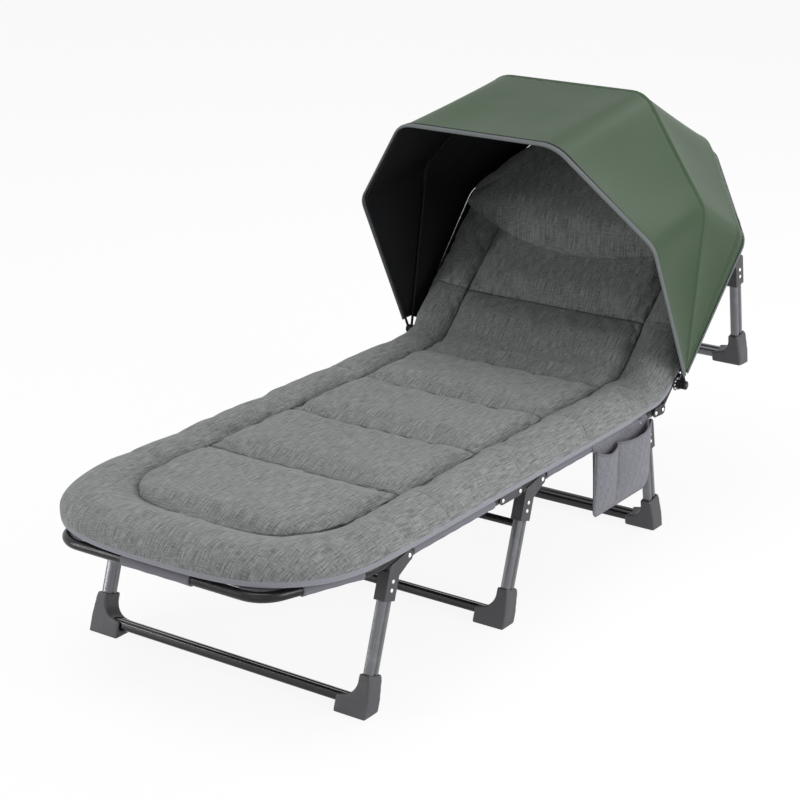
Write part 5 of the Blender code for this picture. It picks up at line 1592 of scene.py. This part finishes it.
# %% Bend the frame tubes
TUBE_END = 0.010
RAIL_STOP = 0.3918
LEVEL_PLANE = Matrix.Translation((0.0, 0.0, RAIL_Z))
BACK_PLANE = Matrix.Translation((0.0, HINGE_Y, RAIL_Z)) @ Matrix.Rotation(BACK_TURN, 4, "X")
foot_line = both_sides([(RAIL_X, FOOT_FOLD + TUBE_END)] + FOOT_LOOP[1:3])
foot_tube = bend_tube(round_face("foot_tube_round", TUBE_RADIUS), foot_line, FOOT_RADII)
finish_piece(foot_tube, LEVEL_PLANE, tube_black, "foot_section", "foot_tube")
back_tube = bend_tube(round_face("back_tube_round", TUBE_RADIUS), HEAD_LOOP, HEAD_RADII)
finish_piece(back_tube, BACK_PLANE, tube_black, "backrest", "backrest_tube")
rail_line = [(RAIL_X, SEAT_FOLD - TUBE_END), (RAIL_X, RAIL_STOP)]
rail = bend_tube(round_face("seat_rail_left_round", TUBE_RADIUS), rail_line, ())
other_rail = copy_of(rail, "seat_rail_right_round", Matrix.Translation((-2 * RAIL_X, 0.0, 0.0)))
finish_piece(rail, LEVEL_PLANE, tube_black, "seat", "seat_rail_left")
finish_piece(other_rail, LEVEL_PLANE, tube_black, "seat", "seat_rail_right")
print("tube faces:", len(foot_tube.data.polygons), len(back_tube.data.polygons), len(rail.data.polygons))

# %% [markdown]
# ## Leg tubes: a flat section with a groove
#
# Each leg is one flat tube bent to a U, with a shallow groove rolled along its inner and outer face. The
# section starts as a rectangle whose two long sides are subdivided; the middle points are pushed in for
# the groove, and the four corners are bevelled well round. Then it is bent like the other tubes. Each
# leg's place comes from the frame's own leg: its pivot, its lean and the level of its cross bar.

# %% Bend the legs
LEG_WIDTH, LEG_DEPTH = 0.018, 0.030
LEG_OFFSET, LEG_TOP, LEG_BEND = 0.039, 0.0305, 0.030
LEG_CORNER, LEG_GROOVE_HALF, LEG_GROOVE_DEPTH, GROOVE_WALL = 0.0056, 0.0040, 0.0025, 0.0008
PIVOT_Z = 0.267


def leg_face(name):
    """The end of a leg tube in edit mode."""
    bpy.ops.object.select_all(action="DESELECT")
    bpy.ops.mesh.primitive_plane_add(size=1.0)
    piece = bpy.context.object
    piece.name = piece.data.name = name
    piece.scale = (LEG_WIDTH, LEG_DEPTH, 1.0)
    settled(piece)
    wide, deep = LEG_WIDTH / 2 - 1e-5, LEG_DEPTH / 2 - 1e-5
    moves = ((0.2, 0.9, LEG_GROOVE_HALF + GROOVE_WALL, 0.0),
             (0.0, 0.2, LEG_GROOVE_HALF - GROOVE_WALL, LEG_GROOVE_DEPTH))
    for side in (1, -1):
        choose(piece, lambda co: co.x * side > wide)
        bpy.ops.mesh.subdivide(number_cuts=4)
        for end in (1, -1):
            for low, high, place, push in moves:
                choose(piece, lambda co: co.x * side > wide
                       and low * deep + 1e-5 < co.y * end < high * deep + 1e-5)
                bpy.ops.transform.resize(value=(1, 0, 1), center_override=(0, 0, 0))
                bpy.ops.transform.translate(value=(-side * push, end * place, 0))
    choose(piece, lambda co: abs(co.x) > wide and abs(co.y) > deep)
    bpy.ops.mesh.bevel(offset=LEG_CORNER, segments=6, affect="VERTICES")
    return piece


head_pivot = back_place([(0.0, 0.3985)], -0.003)[0]
LEG_PIVOTS = {"foot_leg": ((-0.542, PIVOT_Z), -1, math.radians(-18)),
              "middle_leg": ((-0.0845, PIVOT_Z), -1, math.radians(-18)),
              "rear_leg": ((0.307, PIVOT_Z), 1, math.radians(10.6)),
              "head_leg": ((head_pivot[1], head_pivot[2]), 1, math.radians(9))}


def leg_matrix(leg):
    """From a leg's own upright plane to the cot: y is along the cot and z runs up the leg."""
    (y, z), side, lean = LEG_PIVOTS[leg]
    return Matrix.Translation((0.0, y, z)) @ Matrix.Rotation(lean, 4, "X")


for leg, (_, side, _) in LEG_PIVOTS.items():
    to_leg = leg_matrix(leg).inverted()
    level = min((to_leg @ v.co).z for v in nodes[leg + "_tube"].data.vertices) + LEG_WIDTH / 2
    line = [(-RAIL_X, -LEG_TOP), (-RAIL_X, level), (RAIL_X, level), (RAIL_X, -LEG_TOP)]
    tube = bend_tube(leg_face(leg + "_tube_round"), line, (LEG_BEND, LEG_BEND), 8)
    upright = Matrix.Translation((0.0, side * LEG_OFFSET, 0.0)) @ Matrix.Rotation(math.pi / 2, 4, "X")
    finish_piece(tube, leg_matrix(leg) @ upright, leg_metal, leg, leg + "_tube")
    print(leg, "cross bar at", round(level, 4), "in the leg,", len(tube.data.polygons), "faces")

# %% [markdown]
# ## Side pocket: a back cloth over the rail and a gathered front
#
# The pocket hangs from a flap that wraps over the side rail. Its front is a second cloth, cut wider than
# the back and sewn down at the sides, at the bottom and along one upright seam, so each of the two rooms
# stands open a little. All raw edges have a narrow tape folded over them.

# %% Build the pocket
POCKET_NEAR, POCKET_LENGTH = 0.108, 0.228
POCKET_FAR = POCKET_NEAR + POCKET_LENGTH
POCKET_BOTTOM = 0.123
POCKET_BACK_X = 0.3300
POCKET_CORNERS = (0.012, 0.030)
POCKET_SPLIT = POCKET_NEAR + 0.38 * POCKET_LENGTH
POCKET_CLOTH = 0.0014
FLAP_RADIUS = 0.0135
BULGE = (0.013, 0.017)
TAPE_SIZE, TAPE_X = (0.0052, 0.0030), POCKET_BACK_X + 0.0016


def pocket_floor(y):
    """Height of the pocket's rounded bottom edge."""
    near, far = POCKET_CORNERS
    over = max(POCKET_NEAR + near - y, 0.0)
    past = max(y - (POCKET_FAR - far), 0.0)
    near_rise = POCKET_BOTTOM + near - math.sqrt(near ** 2 - over ** 2)
    return near_rise + far - math.sqrt(max(far ** 2 - past ** 2, 0.0))


def room_at(y):
    """Which of the two rooms a place y is in, and its share of that room's length."""
    if y < POCKET_SPLIT:
        return 0, (y - POCKET_NEAR) / (POCKET_SPLIT - POCKET_NEAR)
    return 1, (y - POCKET_SPLIT) / (POCKET_FAR - POCKET_SPLIT)


def mouth_height(y):
    """The front's top edge: one dip for each room."""
    room, share = room_at(y)
    if room == 0:
        return 0.2640 - 0.010 * math.sin(math.pi * share ** 0.8) - 0.006 * share
    return 0.2600 + 0.010 * share - 0.008 * math.sin(math.pi * share)


def stand_off(y, rise):
    """How far the front stands from the back at a place y and at a share of its height."""
    room, share = room_at(y)
    round_side = math.sin(math.pi * min(max(share, 0.0), 1.0)) ** 0.55
    fold = 0.0007 * math.sin(90 * y + 26 * rise) * rise + 0.0005 * math.sin(240 * y - 9 * rise)
    return 0.0018 + BULGE[room] * round_side * (1 - (1 - rise) ** 2.6) ** 0.8 + fold * round_side


def pocket_sheet(name, grid):
    piece = shell_from(name, np.array(grid), POCKET_CLOTH, 0)
    piece.data.materials.append(pocket_cloth.material)
    return piece


pocket_cloth = woven("pocket_cloth", (0.100, 0.100, 0.115), (0.250, 0.250, 0.282),
                     0.0013, 0.012, 0.0005, contrast=1.4)
near_round, far_round = POCKET_CORNERS
pocket_ys = np.unique(np.concatenate([
    np.linspace(POCKET_NEAR, POCKET_NEAR + near_round, 8),
    np.linspace(POCKET_NEAR + near_round, POCKET_SPLIT, 30),
    np.linspace(POCKET_SPLIT, POCKET_FAR - far_round, 40),
    POCKET_FAR - far_round * (1 - np.sin(np.linspace(0, math.pi / 2, 14)))]))
front_grid, back_grid = [], []
for rise in np.linspace(0, 1, 40) ** 0.8:
    front_grid.append([(POCKET_BACK_X + POCKET_CLOTH + stand_off(y, rise), y,
                        pocket_floor(y) + (mouth_height(y) - pocket_floor(y)) * rise) for y in pocket_ys])
for rise in np.linspace(0, 1, 24):
    back_grid.append([(POCKET_BACK_X + (RAIL_X + FLAP_RADIUS - POCKET_BACK_X) * rise ** 2, y,
                       pocket_floor(y) + (RAIL_Z - pocket_floor(y)) * rise) for y in pocket_ys])
for turn in np.radians(np.linspace(8, 100, 12)):
    back_grid.append([(RAIL_X + FLAP_RADIUS * math.cos(turn), y, RAIL_Z + FLAP_RADIUS * 0.92 * math.sin(turn))
                      for y in pocket_ys])
pocket_front = pocket_sheet("pocket_front", front_grid)
pocket_back = pocket_sheet("pocket_back", back_grid)


def tape(name, points):
    """A folded tape round a cloth edge."""
    band = swept(name, points, 10, *TAPE_SIZE, np.tile((1.0, 0.0, 0.0), (len(points), 1)))
    band.data.materials.append(tape_cloth.material)
    return band


tape_cloth = coated_cloth("tape_grey", (0.150, 0.150, 0.172), 0.8, 0.0003)
near_side = [(TAPE_X, POCKET_NEAR, z)
             for z in np.linspace(mouth_height(POCKET_NEAR), POCKET_BOTTOM + 0.012, 20)]
floor_line = [(TAPE_X, y, pocket_floor(y)) for y in pocket_ys]
far_side = [(TAPE_X, POCKET_FAR, z) for z in np.linspace(POCKET_BOTTOM + 0.032, mouth_height(POCKET_FAR), 20)]
tapes = [tape("pocket_mouth_tape", front_grid[-1]),
         tape("pocket_edge_tape", near_side + floor_line[1:-1] + far_side)]
for piece in (pocket_front, pocket_back):
    attribute = piece.data.attributes.new("cloth_place", "FLOAT_VECTOR", "POINT")
    attribute.data.foreach_set("vector", [part for v in piece.data.vertices
                                          for part in (v.co.y, v.co.z, v.co.x)])
for piece in [pocket_front, pocket_back] + tapes:
    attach(piece, "seat")
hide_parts("side_pocket")
print("pocket areas:", round(flat_size(pocket_back), 4), round(flat_size(pocket_front), 4))

# %% [markdown]
# ## Canopy rods and their flat ends
#
# Each rod is a steel wire bent to the canopy's outline, with its ends pressed flat to turn on the hub
# pin. The wire is bent like the tubes, along the middle of the cloth's channel. The pressed end is a
# short cylinder with bevelled rims, modelled once and copied to all six places.

# %% Bend the rods
ROD_RADIUS = 0.003
ROD_START = 0.008
LUG_RADIUS, LUG_HALF = 0.0095, 0.0027


def joined_into(name, pieces):
    """Several new pieces as one object."""
    bpy.ops.object.select_all(action="DESELECT")
    for piece in pieces:
        piece.select_set(True)
    bpy.context.view_layer.objects.active = pieces[0]
    bpy.ops.object.join()
    pieces[0].name = pieces[0].data.name = name
    return pieces[0]


def modelled_lug():
    """One pressed rod end at the origin, its axis across the cot."""
    bpy.ops.object.select_all(action="DESELECT")
    bpy.ops.mesh.primitive_cylinder_add(vertices=24, radius=LUG_RADIUS, depth=2 * LUG_HALF,
                                        rotation=(0, math.pi / 2, 0))
    piece = settled(bpy.context.object)
    for side in (1, -1):
        choose(piece, lambda co: co.x * side > LUG_HALF - 1e-5)
        bpy.ops.mesh.bevel(offset=0.0008, segments=2)
        choose(piece, lambda co: co.x * side > LUG_HALF - 1e-5)
        bpy.ops.mesh.inset(thickness=0.0022, depth=-0.0006)
    return smoothed(piece, 35)


lug = modelled_lug()
to_hub = Matrix.Translation((0.0, HUB_Y, HUB_Z))
for index, node in enumerate(("rear_bow", "middle_bow", "front_bow")):
    corners = rod_corners(index, 0.0, ROD_START)
    wire = bend_tube(round_face(node + "_wire", ROD_RADIUS, 14), corners, (ROD_BEND,) * 4, 6)
    wire.data.transform(Matrix.Rotation(ROD_ANGLE[index], 4, "X"))
    ends = [copy_of(lug, node + "_end", Matrix.Translation((hand * ROD_SIDE[index], 0.0, 0.0)))
            for hand in (1, -1)]
    body = "backrest" if node == "rear_bow" else node
    finish_piece(joined_into(node + "_rod", [wire] + ends), to_hub, rod_black, body, node)
bpy.data.objects.remove(lug)
print("rods bent")

# %% [markdown]
# ## Bright rivet heads
#
# The brackets, links, hinges and canopy hubs are closed with bright steel rivets, small but easy to see
# on the dark plates. One head is half of a coarse sphere, cut by Bisect; every rivet is a flattened copy
# of it with its own mesh, a few dozen faces each.

# %% Set the rivet heads
RIVET_SINK, BRACKET_RIVET_SINK = 0.0006, 0.0012
BRACKET_RIVET_DROPS = (0.0468, 0.0633)
HUB_FAN, HUB_FACE = 0.0118, 0.3384


def modelled_dome():
    """One rivet head of radius and height 1, its flat side at the origin and its top along X."""
    bpy.ops.object.select_all(action="DESELECT")
    bpy.ops.mesh.primitive_uv_sphere_add(segments=12, ring_count=8, radius=1.0, rotation=(0, math.pi / 2, 0))
    piece = settled(bpy.context.object)
    bpy.ops.mesh.select_all(action="SELECT")
    bpy.ops.mesh.bisect(plane_co=(0.05, 0, 0), plane_no=(1, 0, 0), use_fill=True, clear_inner=True)
    return smoothed(piece, 40)


def outer_face(node, sink=RIVET_SINK):
    """How far out the left face of a frame piece lies, less the way a rivet sinks into it."""
    return max(v.co.x for v in nodes[node].data.vertices) - sink


dome = modelled_dome()


def rivets(name, spots, body, radius=0.0040, height=0.0019):
    """Rivet heads as one piece, from (x, y, z) places on one side, and the same ones on the other side."""
    heads = []
    for x, y, z in spots:
        for hand in (1, -1):
            turn = Matrix.Rotation(0.0 if hand > 0 else math.pi, 4, "Z")
            place = Matrix.Translation((hand * x, y, z)) @ turn
            heads.append(copy_of(dome, name, place @ Matrix.Diagonal((height, radius, radius, 1.0))))
    finish_piece(joined_into(name, heads), Matrix(), rivet_steel, body)


for leg, (_, side, _) in LEG_PIVOTS.items():
    face = outer_face(leg + "_bracket_left", BRACKET_RIVET_SINK)
    spots = [leg_matrix(leg) @ Vector((face, side * LEG_OFFSET, -drop)) for drop in BRACKET_RIVET_DROPS]
    rivets(leg + "_rivets", spots, leg)
link_face = outer_face("fold_link_left")
rivets("fold_link_rivets", [(link_face, y, RAIL_Z) for y in FOLD_Y], "fold_link", radius=0.0044)
hinge_face = outer_face("hinge_housing_left")
rivets("hinge_rivets", [(hinge_face, y, RAIL_Z) for y in (HINGE_Y - 0.030, HINGE_Y)], "seat", radius=0.0046)
hub_fan = [(HUB_ALONG + HUB_FAN * math.cos(a), HUB_OVER + HUB_FAN * math.sin(a))
           for a in np.radians((-25, 15, 55, 95, 135, 175, 215))]
rivets("hub_rivets", [BACK_PLANE @ Vector((HUB_FACE, along, over)) for along, over in hub_fan],
       "backrest", radius=0.0022, height=0.0014)
bpy.data.objects.remove(dome)
